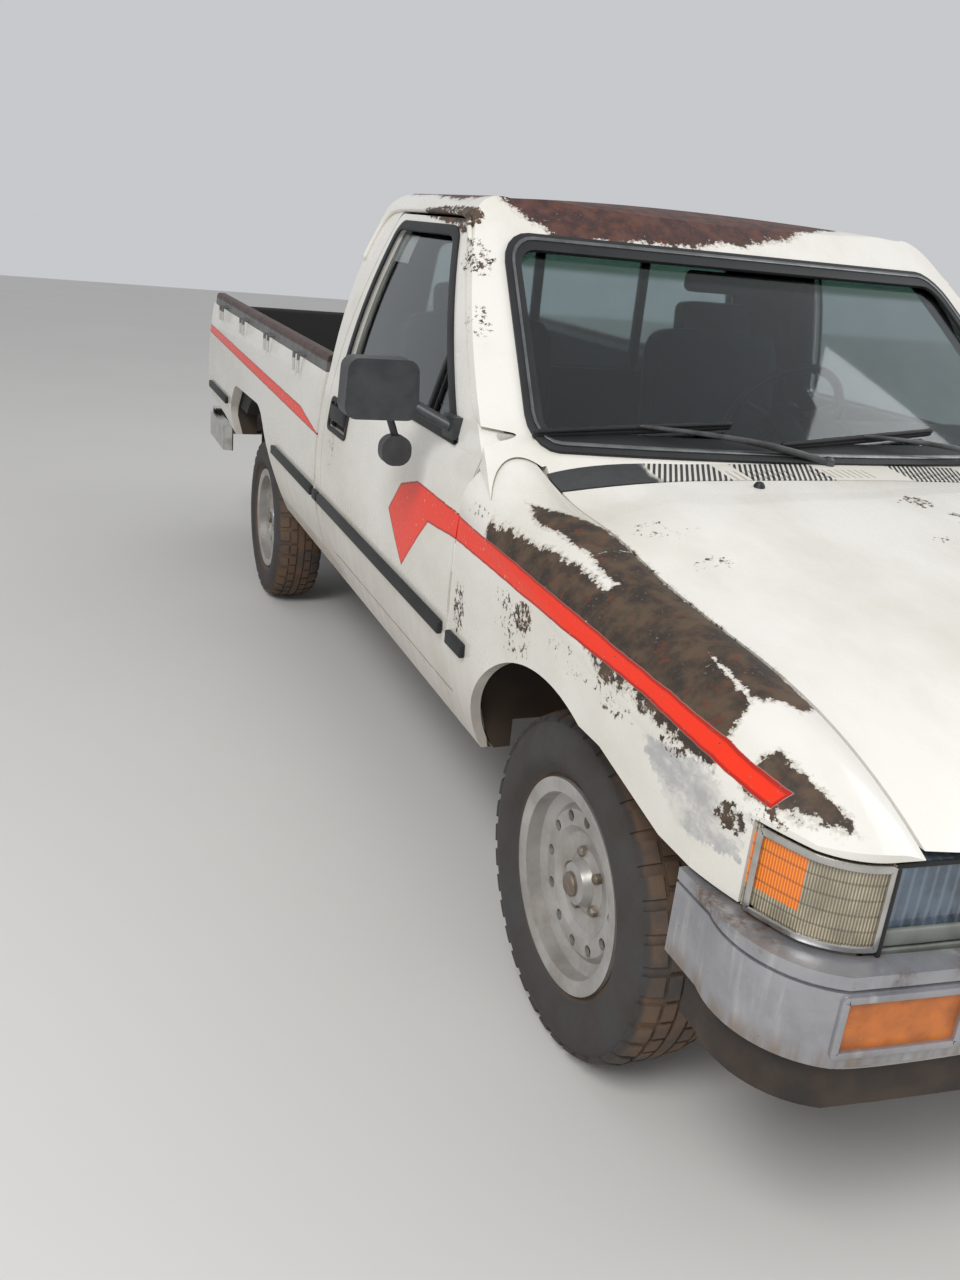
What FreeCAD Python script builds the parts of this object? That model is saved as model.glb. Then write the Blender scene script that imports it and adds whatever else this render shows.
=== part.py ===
import FreeCAD, Part
import math
import os

from FreeCAD import Placement, Rotation, Vector

# A single-cab pickup truck, in millimetres. The front faces -Y, the driver's
# side (left) is +X, Z is up, and the ground is Z = 0 under the middle of the truck.
# Y of the driving sizes is counted rearwards from the front axle. The body sits
# nose down on its wheels, so body sizes are in a frame that turns by rake_angle
# about the front axle.

doc = FreeCAD.newDocument("pickup_truck")

# Driving sizes: alias, value
SIZES = [
    ("wheelbase", 2850),
    ("front_overhang", 750),
    ("rear_overhang", 1185),
    ("rake_angle", 1.65),
    ("panel_gap", 6),
    ("seat_gap", 0.3),
    # wheels
    ("tyre_radius", 318),
    ("tyre_width", 185),
    ("rim_radius", 196),
    ("rim_width", 154),
    ("bead_radius", 178),
    ("well_radius", 150),
    ("rim_wall", 5),
    ("front_half_track", 690),
    ("rear_half_track", 682),
    ("vent_circle", 122),
    ("vent_radius", 11),
    ("vent_count", 12),
    ("stub_radius", 22),
    # body section: half widths and heights
    ("rocker_inset", 72),
    ("rocker_height", 381),
    ("body_half_width", 836),
    ("waist_height", 650),
    ("belt_half_width", 806),
    ("belt_height", 985),
    ("glass_mid_half_width", 752),
    ("roof_edge_half_width", 668),
    ("roof_edge_height", 1430),
    ("roof_height", 1503),
    ("side_wall", 50),
    ("roof_wall", 26),
    ("floor_height", 445),
    ("floor_wall", 20),
    ("sill_width", 64),
    # cab
    ("firewall_place", 430),
    ("firewall_wall", 24),
    ("cowl_box_place", 372),
    ("cab_back", 1720),
    ("cab_back_wall", 36),
    ("cowl_height", 1012),
    ("screen_foot", 468),
    ("screen_foot_half_width", 715),
    ("screen_head", 952),
    ("screen_head_height", 1407),
    ("screen_head_half_width", 620),
    ("screen_radius", 3200),
    ("screen_wall", 48),
    ("glass_wall", 5),
    # doors
    ("door_front", 515),
    ("door_back", 1662),
    ("door_bottom", 470),
    ("door_top", 1437),
    ("sill_line", 1000),
    ("hinge_side", 830),
    ("hinge_radius", 5),
    # nose
    ("nose_wall", 22),
    ("bonnet_wall", 24),
    ("bonnet_rear", 355),
    ("bonnet_bow", 70),
    ("nose_front", 705),
    ("lamp_bottom", 622),
    ("lamp_top", 764),
    ("grille_half_width", 506),
    ("headlamp_width", 200),
    ("arch_radius", 412),
    ("bumper_bottom", 508),
    ("bumper_top", 640),
    # load bed
    ("bed_front", 1742),
    ("bed_back", 3945),
    ("bed_floor", 620),
    ("bed_top", 975),
    ("bed_rail_top", 1025),
    ("bed_wall", 46),
    ("bed_floor_wall", 18),
    ("tailgate_half_width", 690),
    ("tailgate_wall", 40),
    ("rear_arch_radius", 430),
    ("rear_bumper_bottom", 352),
    ("rear_bumper_top", 482),
    # chassis
    ("rail_width", 60),
    ("rail_depth", 115),
    ("rail_wall", 5),
    ("rail_front_half_gap", 315),
    ("rail_rear_half_gap", 430),
    ("axle_tube_radius", 36),
    ("spring_half_gap", 498),
    ("spring_width", 60),
    ("leaf_thickness", 8),
    # steering
    ("kingpin_half_width", 612),
    ("steering_wheel_radius", 192),
    ("steering_wheel_side", 370),
    ("steering_wheel_place", 1131),
    ("steering_wheel_height", 974),
    ("column_slope", 25),
]

sheet = doc.addObject("Spreadsheet::Sheet", "sizes")
for row, (alias, value) in enumerate(SIZES, start=1):
    sheet.set("A%d" % row, alias)
    sheet.set("B%d" % row, str(value))
    sheet.setAlias("B%d" % row, alias)
doc.recompute()


def size(alias):
    return float(sheet.get(alias))


X_AXIS = Vector(1, 0, 0)
Y_AXIS = Vector(0, 1, 0)
Z_AXIS = Vector(0, 0, 1)
FAR = 900

total_length = size("front_overhang") + size("wheelbase") + size("rear_overhang")
front_axle_y = size("front_overhang") - total_length / 2
rake = math.radians(size("rake_angle"))
hub_height = size("tyre_radius")
rocker_half = size("body_half_width") - size("rocker_inset")

# The rear axle as the tilted body frame sees it.
axle_y = size("wheelbase") * math.cos(rake)
axle_z = hub_height - size("wheelbase") * math.sin(rake)

parts = []


def level_place():
    return Placement(Vector(0, front_axle_y, 0), Rotation())


def body_place():
    turn = Rotation(X_AXIS, size("rake_angle"))
    pivot = Vector(0, 0, hub_height)
    return level_place().multiply(Placement(Vector(), turn, pivot))


def keep(item, label, place):
    item.Label = label
    item.Placement = place.multiply(item.Placement)
    parts.append(item)


def keep_shape(label, shape, place=None):
    item = doc.addObject("Part::Feature", label)
    item.Shape = shape
    keep(item, label, body_place() if place is None else place)
    return item


# Outlines: each entry is (a, b) for a straight side to that point, or
# (via_a, via_b, a, b) for an arc through one point to the next. The first entry
# is the start. place3 turns a pair into a point of the plane.
def outline_wire(entries, place3):
    last = entries[0][-2:]
    edges = []
    for entry in list(entries[1:]) + [last]:
        end = entry[-2:]
        if math.hypot(end[0] - last[0], end[1] - last[1]) < 1e-6:
            continue
        if len(entry) == 4:
            arc = Part.Arc(place3(*last), place3(*entry[:2]), place3(*end))
            edges.append(arc.toShape())
        else:
            edges.append(Part.LineSegment(place3(*last), place3(*end)).toShape())
        last = end
    return Part.Wire(edges)


def rounded(points, radii):
    """Corner points and their radii as outline entries with tangent arcs."""
    entries = []
    count = len(points)
    for index, (corner, radius) in enumerate(zip(points, radii)):
        before = Vector(*points[index - 1], 0)
        here = Vector(*corner, 0)
        after = Vector(*points[(index + 1) % count], 0)
        into = (before - here).normalize()
        away = (after - here).normalize()
        half = into.getAngle(away) / 2
        if radius <= 0:
            entries.append((here.x, here.y))
            continue
        reach = radius / math.tan(half)
        middle = here + (into + away).normalize() * (radius / math.sin(half) - radius)
        first = here + into * reach
        last = here + away * reach
        entries.append((first.x, first.y))
        entries.append((middle.x, middle.y, last.x, last.y))
    return entries


def prism_x(entries, x_low, x_high):
    wire = outline_wire(entries, lambda a, b: Vector(x_low, a, b))
    return Part.Face(wire).extrude(Vector(x_high - x_low, 0, 0))


def prism_y(entries, y_low, y_high):
    wire = outline_wire(entries, lambda a, b: Vector(a, y_low, b))
    return Part.Face(wire).extrude(Vector(0, y_high - y_low, 0))


def prism_z(entries, z_low, z_high):
    wire = outline_wire(entries, lambda a, b: Vector(a, b, z_low))
    return Part.Face(wire).extrude(Vector(0, 0, z_high - z_low))


def block(x_low, x_high, y_low, y_high, z_low, z_high):
    corner = Vector(x_low, y_low, z_low)
    return Part.makeBox(x_high - x_low, y_high - y_low, z_high - z_low, corner)


def rod(start, end, radius):
    start = Vector(*start)
    run = Vector(*end) - start
    return Part.makeCylinder(radius, run.Length, start, run)


def mirrored(shape):
    return shape.mirror(Vector(0, 0, 0), X_AXIS)


def both_sides(shape):
    return Part.makeCompound([shape, mirrored(shape)])


def joined(shapes):
    return shapes[0].multiFuse(shapes[1:]).removeSplitter()


# Body section, seen from the front
def section_entries(side_inset, roof_inset):
    """Closed outline in (x, z) of the cab, moved in by the insets."""
    bottom = size("rocker_height")
    waist = size("body_half_width") - side_inset
    belt = size("belt_half_width") - side_inset
    rocker = rocker_half - side_inset
    glass = size("glass_mid_half_width") - side_inset
    edge = size("roof_edge_half_width") - side_inset
    waist_z = size("waist_height")
    belt_z = size("belt_height")
    edge_z = size("roof_edge_height") - roof_inset
    roof_z = size("roof_height") - roof_inset
    low_x = waist - (waist - rocker) * 0.36
    low_z = (bottom + waist_z) / 2 - 20
    high_z = (waist_z + belt_z) / 2 - 8
    glass_z = (belt_z + edge_z) / 2 + 8
    return [
        (rocker, bottom),
        (low_x, low_z, waist, waist_z),
        (waist - 3, high_z, belt, belt_z),
        (glass, glass_z, edge, edge_z),
        (edge - 26, edge_z + 38, edge - 100, roof_z - 18),
        (0, roof_z, -(edge - 100), roof_z - 18),
        (-(edge - 26), edge_z + 38, -edge, edge_z),
        (-glass, glass_z, -belt, belt_z),
        (-(waist - 3), high_z, -waist, waist_z),
        (-low_x, low_z, -rocker, bottom),
    ]


def cab_section(side_inset, roof_inset, y_low, y_high):
    return prism_y(section_entries(side_inset, roof_inset), y_low, y_high)


def screen_bow(half_width):
    return half_width ** 2 / (2 * size("screen_radius"))


def screen_prism(inset):
    """All that lies behind the windscreen's face, moved back by inset."""
    rise = size("screen_head_height") - size("cowl_height")
    head_middle = size("screen_head") - screen_bow(size("screen_head_half_width"))
    foot_middle = size("screen_foot") - screen_bow(size("screen_foot_half_width"))
    lean = math.atan2(head_middle - foot_middle, rise)
    foot = Vector(0, foot_middle, size("cowl_height"))
    along = Vector(0, math.sin(lean), math.cos(lean))
    ahead = Vector(0, -math.cos(lean), math.sin(lean))
    radius = size("screen_radius") / math.cos(lean)
    start = foot - ahead * radius - along * 800
    return Part.makeCylinder(radius - inset * math.cos(lean), 2600, start, along)


def cab_side_outline(inset):
    """Closed outline in (y, z) of the cab's roof line and back, moved in."""
    back = size("cab_back") - inset
    roof = size("roof_height") - inset
    front = size("firewall_place") + inset
    bottom = size("rocker_height") - 10
    head = size("screen_head") - 85
    cowl = size("cowl_box_place") + inset
    return [
        (front, bottom),
        (back, bottom),
        (back, roof - 90),
        (back - 9, roof - 58),
        (back - 32, roof - 30),
        (back - 74, roof - 12),
        (back - 190, roof + 4),
        (head + 280, roof + 4),
        (head + 170, roof - 13),
        (head + 80, roof - 36),
        (head, roof - 72),
        (cowl, roof - 260),
        (cowl, 945),
        (front, 915),
    ]


def door_points(gap):
    front = size("door_front") + gap
    back = size("door_back") - gap
    low = size("door_bottom") + gap
    top = size("door_top") - gap
    belt = size("belt_height")
    points = [
        (front, low),
        (back - 6, low),
        (back, belt),
        (back - 105, top),
        (size("door_front") + 520 + 1.3 * gap, top),
        (size("door_front") + 70 + 1.3 * gap, belt + 77),
        (front - 15, belt + 52 - 0.3 * gap),
        (front - 33, belt + 6),
        (front, belt - 105),
    ]
    return rounded(points, [18, 95, 300, 28, 26, 120, 20, 20, 60])


def window_points(gap):
    low = size("sill_line") + gap
    high = size("door_top") - 38 - gap
    front = size("door_front")
    back = size("door_back") - gap
    points = [
        (front + 117 + 1.6 * gap, low),
        (back - 102, low),
        (back - 162, high),
        (front + 557 + 0.8 * gap, high),
    ]
    return rounded(points, [30, 26, 24, 22])


def rear_window_points(gap):
    low = size("belt_height") + 45 + gap
    high = size("roof_edge_height") - 58 - gap
    return rounded([(-560 + gap, low), (560 - gap, low), (505 - gap, high),
                    (-505 + gap, high)], [45] * 4)


def screen_points(gap):
    low = size("cowl_height") + 14 + gap
    high = size("screen_head_height") - 15 - gap
    foot = size("screen_foot_half_width") - 23 - gap
    head = size("screen_head_half_width") - 18 - gap
    return rounded([(-foot, low), (foot, low), (head, high), (-head, high)], [40] * 4)


# Nose sections: place, bonnet edge half width and height, crease half width and
# height, middle height, extra fullness of the shoulder
NOSE = [
    (-760, 660, 708, 322, 742, 752, 0),
    (-650, 663, 778, 328, 812, 823, 0),
    (-537, 668, 830, 336, 866, 878, 0),
    (-265, 677, 883, 360, 926, 938, 0),
    (44, 681, 917, 385, 962, 974, 0),
    (204, 685, 938, 397, 981, 993, 0),
    (363, 690, 959, 408, 999, 1010, 4),
    (465, 702, 996, 414, 1014, 1021, 9),
    (540, 712, 1012, 420, 1026, 1034, 9),
]


def nose_body(inset):
    bottom = size("rocker_height")
    rocker = rocker_half - inset
    waist = size("body_half_width") - inset
    waist_z = size("waist_height") - 10
    wires = []
    for y, edge, edge_z, crease, crease_z, middle_z, full in NOSE:
        shoulder = waist - 6
        bulge = shoulder - 34 + full
        lower = min(edge_z - 115, 865) - inset * 0.4
        bulge_z = (lower + edge_z) / 2 + 32 - inset
        rise = (edge + crease) / 2
        rise_z = (edge_z + crease_z) / 2 + 7 - inset
        entries = [
            (rocker, bottom),
            (waist - 22, 490, waist, waist_z),
            (waist, (waist_z + lower) / 2, shoulder + 1, lower),
            (bulge, bulge_z, edge, edge_z - inset),
            (rise, rise_z, crease, crease_z - inset),
            (0, middle_z - inset, -crease, crease_z - inset),
            (-rise, rise_z, -edge, edge_z - inset),
            (-bulge, bulge_z, -shoulder - 1, lower),
            (-waist, (waist_z + lower) / 2, -waist, waist_z),
            (-(waist - 22), 490, -rocker, bottom),
        ]
        wires.append(outline_wire(entries, lambda a, b, y=y: Vector(a, y, b)))
    return Part.makeLoft(wires, True, False)


def nose_plan(inset):
    """All that lies inside the plan outline of the nose."""
    side = size("body_half_width") + 2 - inset
    front = -size("nose_front") + inset
    corner = 700 - inset * 0.3
    return prism_z([
        (side, 700),
        (side, -330),
        (side - 14, -520 + inset * 0.5, side - 50, -622 + inset),
        (side - 90, -656 + inset, corner, front + 37),
        (0, front, -corner, front + 37),
        (-side + 90, -656 + inset, -side + 50, -622 + inset),
        (-side + 14, -520 + inset * 0.5, -side, -330),
        (-side, 700),
    ], 300, 1200)


def edge_at(y):
    """Half width of the line between bonnet and wing at a place along the truck."""
    for here, there in zip(NOSE, NOSE[1:]):
        if here[0] <= y <= there[0]:
            return here[1] + (there[1] - here[1]) * (y - here[0]) / (there[0] - here[0])
    return NOSE[-1][1]


# Cab
tunnel_half = 150
tunnel_top = 560
tunnel_end = 1150
tunnel_wall = 20


# Lower ends of the door hinges' upper knuckles, and sides of the bonnet's links
HINGE_HEIGHTS = (630, 780)
BONNET_LINKS = (560,)


def cab_cavity(step):
    """The room inside the cab, smaller by step all round."""
    front = size("firewall_place") + size("firewall_wall") + step
    back = size("cab_back") - size("cab_back_wall") - step
    roof = size("roof_wall") + step
    inner = cab_section(size("side_wall") + step, roof, front, back)
    inner = inner.common(prism_x(cab_side_outline(roof), -FAR, FAR))
    inner = inner.common(screen_prism(size("screen_wall") + step))
    floor = size("floor_height")
    inner = inner.common(block(-FAR, FAR, 0, back, floor + size("floor_wall") + step, 1600))
    return inner.cut(block(-tunnel_half, tunnel_half, 0, tunnel_end, floor,
                           tunnel_top + step))


def cab_shell():
    front = size("firewall_place")
    back = size("cab_back")
    outer = cab_section(0, 0, size("cowl_box_place"), back)
    outer = outer.common(prism_x(cab_side_outline(0), -FAR, FAR))
    outer = outer.common(screen_prism(0))
    shell = outer.cut(cab_cavity(0))
    floor = size("floor_height")
    sill = rocker_half - size("sill_width")
    under = block(-sill, sill, 300, back + 50, 300, floor)
    tunnel = tunnel_half - tunnel_wall
    under = under.fuse(block(-tunnel, tunnel, 300, tunnel_end - tunnel_wall,
                             300, tunnel_top - tunnel_wall))
    shell = shell.cut(under)
    shell = shell.cut(both_sides(prism_x(door_points(0), 560, FAR)))
    shell = shell.cut(prism_y(screen_points(0), 250, 1200))
    shell = shell.cut(prism_y(rear_window_points(0), back - 80, back + 40))
    door = size("door_front")
    belt = size("belt_height")
    edge = [(360, 300), (door, 300), (door, belt - 105), (door - 33, belt),
            (door - 33, belt + 60), (360, belt + 60)]
    pocket = prism_x(edge, -FAR, FAR).common(nose_body(-4))
    pocket = pocket.cut(nose_body(size("nose_wall") + 4))
    shell = shell.cut(pocket.cut(block(-688, 688, 300, 600, 200, 1100)))
    hinges = []
    axis = size("hinge_side")
    knuckle = size("hinge_radius")
    for z in HINGE_HEIGHTS:
        low = z + size("seat_gap")
        pin = rod((axis, door, low), (axis, door, low + 30), knuckle)
        leaf = block(790, axis, door - knuckle, door - 0.5, low, low + 30)
        hinges.append(both_sides(joined([pin, leaf])))
    for x in BONNET_LINKS:
        link = block(x + size("seat_gap"), x + 10, 336, 405, 930, 952)
        hinges.append(both_sides(link))
    return joined([shell] + hinges)


def screen_glass():
    pane = screen_prism(9).cut(screen_prism(9 + size("glass_wall") * 1.6))
    return pane.common(prism_y(screen_points(size("seat_gap")), 250, 1200))


def rear_glass():
    seat = size("seat_gap")
    middle = size("cab_back") - size("cab_back_wall") / 2
    pane = prism_y(rear_window_points(seat), middle - 3, middle + 3)
    low = size("belt_height") + 45 + seat
    high = size("roof_edge_height") - 58 - seat
    bars = [block(x - 11, x + 11, middle - 9, middle + 9, low, high) for x in (-180, 180)]
    return joined([pane] + bars)


cab_shape = cab_shell()
keep_shape("cab_shell", cab_shape)
keep_shape("windscreen_glass", screen_glass())
keep_shape("rear_window", rear_glass())


# Doors
def door_panel():
    wall = size("side_wall")
    ring = cab_section(0, 0, 300, 1800).cut(cab_section(wall, 0, 290, 1810))
    door = ring.common(prism_x(door_points(size("panel_gap")), 100, FAR))
    door = door.common(screen_prism(16))
    door = door.cut(prism_x(window_points(0), 100, FAR))
    back = size("door_back")
    low = size("belt_height") - 147
    recess = rounded([(back - 237, low), (back - 47, low), (back - 47, low + 84),
                      (back - 237, low + 84)], [14] * 4)
    inner_x = size("body_half_width") - 26
    door = door.cut(prism_x(recess, inner_x, FAR))
    grip = rounded([(back - 222, low + 30), (back - 72, low + 30), (back - 72, low + 67),
                    (back - 222, low + 67)], [10] * 4)
    pieces = [door, prism_x(grip, inner_x + 9, inner_x + 17)]
    for y in (back - 218, back - 96):
        pieces.append(block(inner_x - 1, inner_x + 11, y, y + 20, low + 34, low + 62))
    axis = size("hinge_side")
    knuckle = size("hinge_radius")
    front = size("door_front")
    for z in HINGE_HEIGHTS:
        pieces.append(rod((axis, front, z - 30), (axis, front, z), knuckle))
        pieces.append(block(axis - 14, axis, front, front + 12, z - 30, z))
    return joined(pieces)


def door_window():
    ring = cab_section(16, 0, 300, 1800)
    ring = ring.cut(cab_section(16 + size("glass_wall"), 0, 290, 1810))
    return ring.common(prism_x(window_points(size("seat_gap")), 100, FAR))


def door_mirror(door):
    place = size("door_front") + 185
    sill = size("sill_line")
    face = rounded([(868, sill + 22), (1030, sill + 22), (1024, sill + 146),
                    (874, sill + 146)], [26] * 4)
    head = prism_y(face, place, place + 62)
    dish = rounded([(880, sill + 34), (1018, sill + 34), (1013, sill + 134),
                    (884, sill + 134)], [18] * 4)
    head = head.cut(prism_y(dish, place + 50, place + 80))
    foot_y = place - 42
    skin = size("belt_half_width") - 3
    arm = rod((skin + 6, foot_y, sill + 20), (890, place + 30, sill + 60), 13)
    foot = block(skin - 8, skin + 14, foot_y - 30, foot_y + 34, sill - 2, sill + 44)
    stalk = rod((925, place + 30, sill + 30), (905, place + 36, sill - 20), 8)
    round_mirror = rounded([(872, sill - 78), (938, sill - 78), (938, sill - 14),
                            (872, sill - 14)], [28] * 4)
    small = prism_y(round_mirror, place + 20, place + 50)
    mirror = joined([head, arm, foot, stalk, small])
    return mirror.cut(door.translated(Vector(size("seat_gap"), 0, 0)))


door_shape = door_panel()
glass_shape = door_window()
mirror_shape = door_mirror(door_shape)
for side, turn in (("left", lambda shape: shape), ("right", mirrored)):
    keep_shape("door_" + side, turn(door_shape))
    keep_shape("door_glass_" + side, turn(glass_shape))
    keep_shape("mirror_" + side, turn(mirror_shape))


panel_front = -size("nose_front") + 67
nose_outer = nose_body(0)
nose_inner = nose_body(size("nose_wall"))
nose_outline = nose_plan(0)
half_gap = size("panel_gap") / 2


def bonnet():
    skin = nose_outer.cut(nose_outer.translated(Vector(0, 0, -size("bonnet_wall"))))
    rear = size("bonnet_rear") - half_gap
    corner = edge_at(rear) - half_gap
    line = [(edge_at(y) - half_gap, y) for y in (rear, 44, -265, -537, -650, -760)]
    plan = line + [(-x, y) for x, y in reversed(line)]
    plan.append((0, rear - size("bonnet_bow"), corner, rear))
    skin = skin.common(prism_z(plan, 500, 1200)).common(nose_outline)
    skin = skin.common(block(-FAR, FAR, -FAR, 600, size("lamp_top") + 9, 1200))
    links = []
    for x in BONNET_LINKS:
        side = [(300, 920), (364, 926), (364, 946), (330, 950), (318, 962), (318, 985),
                (300, 985)]
        link = prism_x(side, x - 10, x).common(nose_body(8))
        links += both_sides(link).Solids
    catch = block(-20, 20, panel_front + 2, panel_front + 16,
                  size("lamp_top") - 16 + size("seat_gap"), 820)
    return joined([skin, catch.common(nose_body(8))] + links)


def front_arch():
    return Part.makeCylinder(size("arch_radius"), 2 * FAR, Vector(-FAR, 30, 300), X_AXIS)


def fender():
    skin = nose_outer.cut(nose_inner).common(nose_outline)
    line = [(edge_at(y) + half_gap, y) for y in (-760, -650, -537, -265, 44, 363, 540)]
    skin = skin.common(prism_z(line + [(FAR, 540), (FAR, -760)], 300, 1200))
    front = size("door_front") - size("panel_gap")
    belt = size("belt_height")
    over_bumper = size("bumper_top") + 8
    side = [(front, 382), (front, belt - 107), (front - 33, belt + 7), (front - 33, 1100),
            (-760, 1100), (-760, over_bumper), (-370, over_bumper), (-176, over_bumper + 42),
            (0, over_bumper + 42), (0, 382)]
    skin = skin.common(prism_x(side, 0, FAR)).cut(front_arch())
    lamp = block(500, FAR, -760, -541, size("lamp_bottom") - 60, size("lamp_top") + 4)
    skin = skin.cut(lamp)
    wall = size("nose_wall")
    shim = nose_body(wall - 1).cut(nose_body(wall + 4 - size("seat_gap")))
    pads = [shim.common(block(700, FAR, front - 40, front - 10, z, z + 50))
            for z in (420, 560, 790)]
    return joined([skin] + pads)


def cowl_panel():
    skin = nose_outer.cut(nose_inner)
    rear = size("bonnet_rear") + half_gap
    edge = edge_at(rear) - half_gap
    far = edge_at(540) - half_gap
    plan = [(edge, rear), (far, 540), (-far, 540), (-edge, rear),
            (0, rear - size("bonnet_bow"), edge, rear)]
    panel = skin.common(prism_z(plan, 800, 1200))
    slots = []
    for start in (-330, -130, 120, 330):
        for index in range(9):
            x = start + index * 17
            slots.append(block(x, x + 6, rear - 56, rear - 4, 900, 1100))
    panel = panel.cut(Part.makeCompound(slots)).cut(screen_prism(-half_gap))
    lip_back = size("cowl_box_place") - size("seat_gap")
    lips = both_sides(block(40, 110, rear - 2, lip_back, 965, 1000).common(nose_body(8)))
    return joined([panel] + lips.Solids)


fender_shape = fender()
keep_shape("bonnet", bonnet())
keep_shape("fender_left", fender_shape)
keep_shape("fender_right", mirrored(fender_shape))
keep_shape("cowl_panel", cowl_panel())


def behind_front(depth):
    """All that lies behind the nose's front arc, moved back by depth."""
    front = -size("nose_front") + depth
    return prism_z([(-FAR, front + 61), (0, front, FAR, front + 61), (FAR, 0), (-FAR, 0)],
                   300, 1100)


def grille():
    half = size("grille_half_width") - 1
    low = size("lamp_bottom")
    high = size("lamp_top") - 2
    frame = block(-half, half, -760, 0, low, high)
    frame = frame.cut(block(-half + 12, half - 12, -760, 0, low + 14, high - 16))
    bars = [frame]
    rows = 5
    step = (high - low - 30) / (rows + 1)
    for index in range(rows):
        z = low + 14 + step * (index + 1)
        bars.append(block(-half + 6, half - 6, -760, 0, z - 3, z + 3))
    for x in (-336, -168, 0, 168, 336):
        bars.append(block(x - 3, x + 3, -760, 0, low + 6, high - 6))
    face = joined(bars).common(behind_front(14).cut(behind_front(38)))
    lugs = both_sides(block(half - 12, half, -690, panel_front - size("seat_gap"), low, high))
    lugs = lugs.common(behind_front(14))
    return joined([face] + lugs.Solids)


def headlamp():
    low = size("grille_half_width") + 1
    high = size("grille_half_width") + size("headlamp_width") - 1
    box = block(low, high, -760, panel_front - size("seat_gap"), size("lamp_bottom"),
                size("lamp_top") - 2)
    return box.common(behind_front(10))


def corner_lamp():
    side = size("grille_half_width") + size("headlamp_width") - 1 + size("seat_gap")
    box = block(side, FAR, -760, -545, size("bumper_top") + 8, size("lamp_top"))
    return box.common(nose_plan(0).cut(nose_plan(44))).common(nose_outer)


def nose_panel():
    """The front panel that holds grille, lamps and radiator."""
    half = size("grille_half_width") + size("headlamp_width") - 4
    low = size("lamp_bottom") - 182
    high = size("lamp_top") - 16
    front = panel_front
    panel = block(-half, half, front, front + 20, low, high)
    holes = [block(-290, 290, front - 5, front + 30, low + 40, high - 48)]
    for side in (-1, 1):
        near, far = sorted((side * 420, side * 640))
        holes.append(block(near, far, front - 5, front + 30, low + 30, low + 150))
    return panel.cut(Part.makeCompound(holes))


def bumper_plan(inset):
    side = size("body_half_width") + 6 - inset
    front = -size("front_overhang") + inset
    return [
        (side, -440),
        (side, -520),
        (side - 14, -640 + inset, side - 80, -700 + inset),
        (0, front, -side + 80, -700 + inset),
        (-side + 14, -640 + inset, -side, -520),
        (-side, -440),
    ]


def bumper_band(outer_inset, inner_inset, low, high):
    outer = prism_z(bumper_plan(outer_inset), low, high)
    inner = prism_z([(x, y + 10) if len(rest) == 0 else (x, y, *rest)
                     for x, y, *rest in bumper_plan(inner_inset)], low - 10, high + 10)
    return outer.cut(inner)


def front_bumper():
    low = size("bumper_bottom")
    high = size("bumper_top")
    shell = bumper_band(0, 34, low, high)
    shell = shell.cut(bumper_band(8, 40, low + 14, high - 14).cut(
        bumper_band(-20, 12, low, high)))
    recess = both_sides(block(596, 764, -800, -640, low + 22, low + 100))
    shell = shell.cut(recess.common(bumper_band(0, 18, low, high)))
    groove = block(-FAR, FAR, -FAR, -430, high - 23, high - 18)
    shell = shell.cut(groove.common(bumper_band(0, 4, low, high)))
    brackets = both_sides(block(325, 365, -size("front_overhang") + 26,
                                panel_front - size("seat_gap"), low + 14, high - 48))
    return joined([shell] + brackets.Solids)


def bumper_lamps():
    low = size("bumper_bottom")
    box = block(597, 763, -800, -640, low + 23, low + 99)
    return both_sides(box.common(bumper_band(2, 17.7, low, low + 120)))


def front_valance():
    high = size("bumper_bottom") - size("seat_gap")
    band = bumper_band(14, 22, high - 76, high)
    return band.common(block(-FAR, FAR, -FAR, -480, 300, 700))


keep_shape("grille", grille())
keep_shape("headlamps", both_sides(headlamp()))
keep_shape("corner_lamps", both_sides(corner_lamp()))
keep_shape("nose_panel", nose_panel())
keep_shape("front_bumper", front_bumper())
keep_shape("bumper_lamps", bumper_lamps())
keep_shape("front_valance", front_valance())


# Load bed
def bed_section(y_low, y_high):
    rocker = rocker_half
    bottom = size("rocker_height")
    waist = size("body_half_width")
    waist_z = size("waist_height")
    top = size("bed_top")
    shoulder = size("belt_half_width") + 6
    low_x = waist - (waist - rocker) * 0.36
    low_z = (bottom + waist_z) / 2 - 20
    high_z = (waist_z + top) / 2
    return prism_y([
        (rocker, bottom),
        (low_x, low_z, waist, waist_z),
        (waist - 4, high_z, shoulder, top),
        (-shoulder, top),
        (-waist + 4, high_z, -waist, waist_z),
        (-low_x, low_z, -rocker, bottom),
    ], y_low, y_high)


def rear_arch_outline():
    """Opening in the bed's side around the wheel, as outline entries in (y, z)."""
    points = [(2425, 300), (2425, 480), (2620, 722), (3190, 712), (3330, 590), (3330, 300)]
    return rounded(points, [0, 150, 180, 120, 60, 0])


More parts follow.
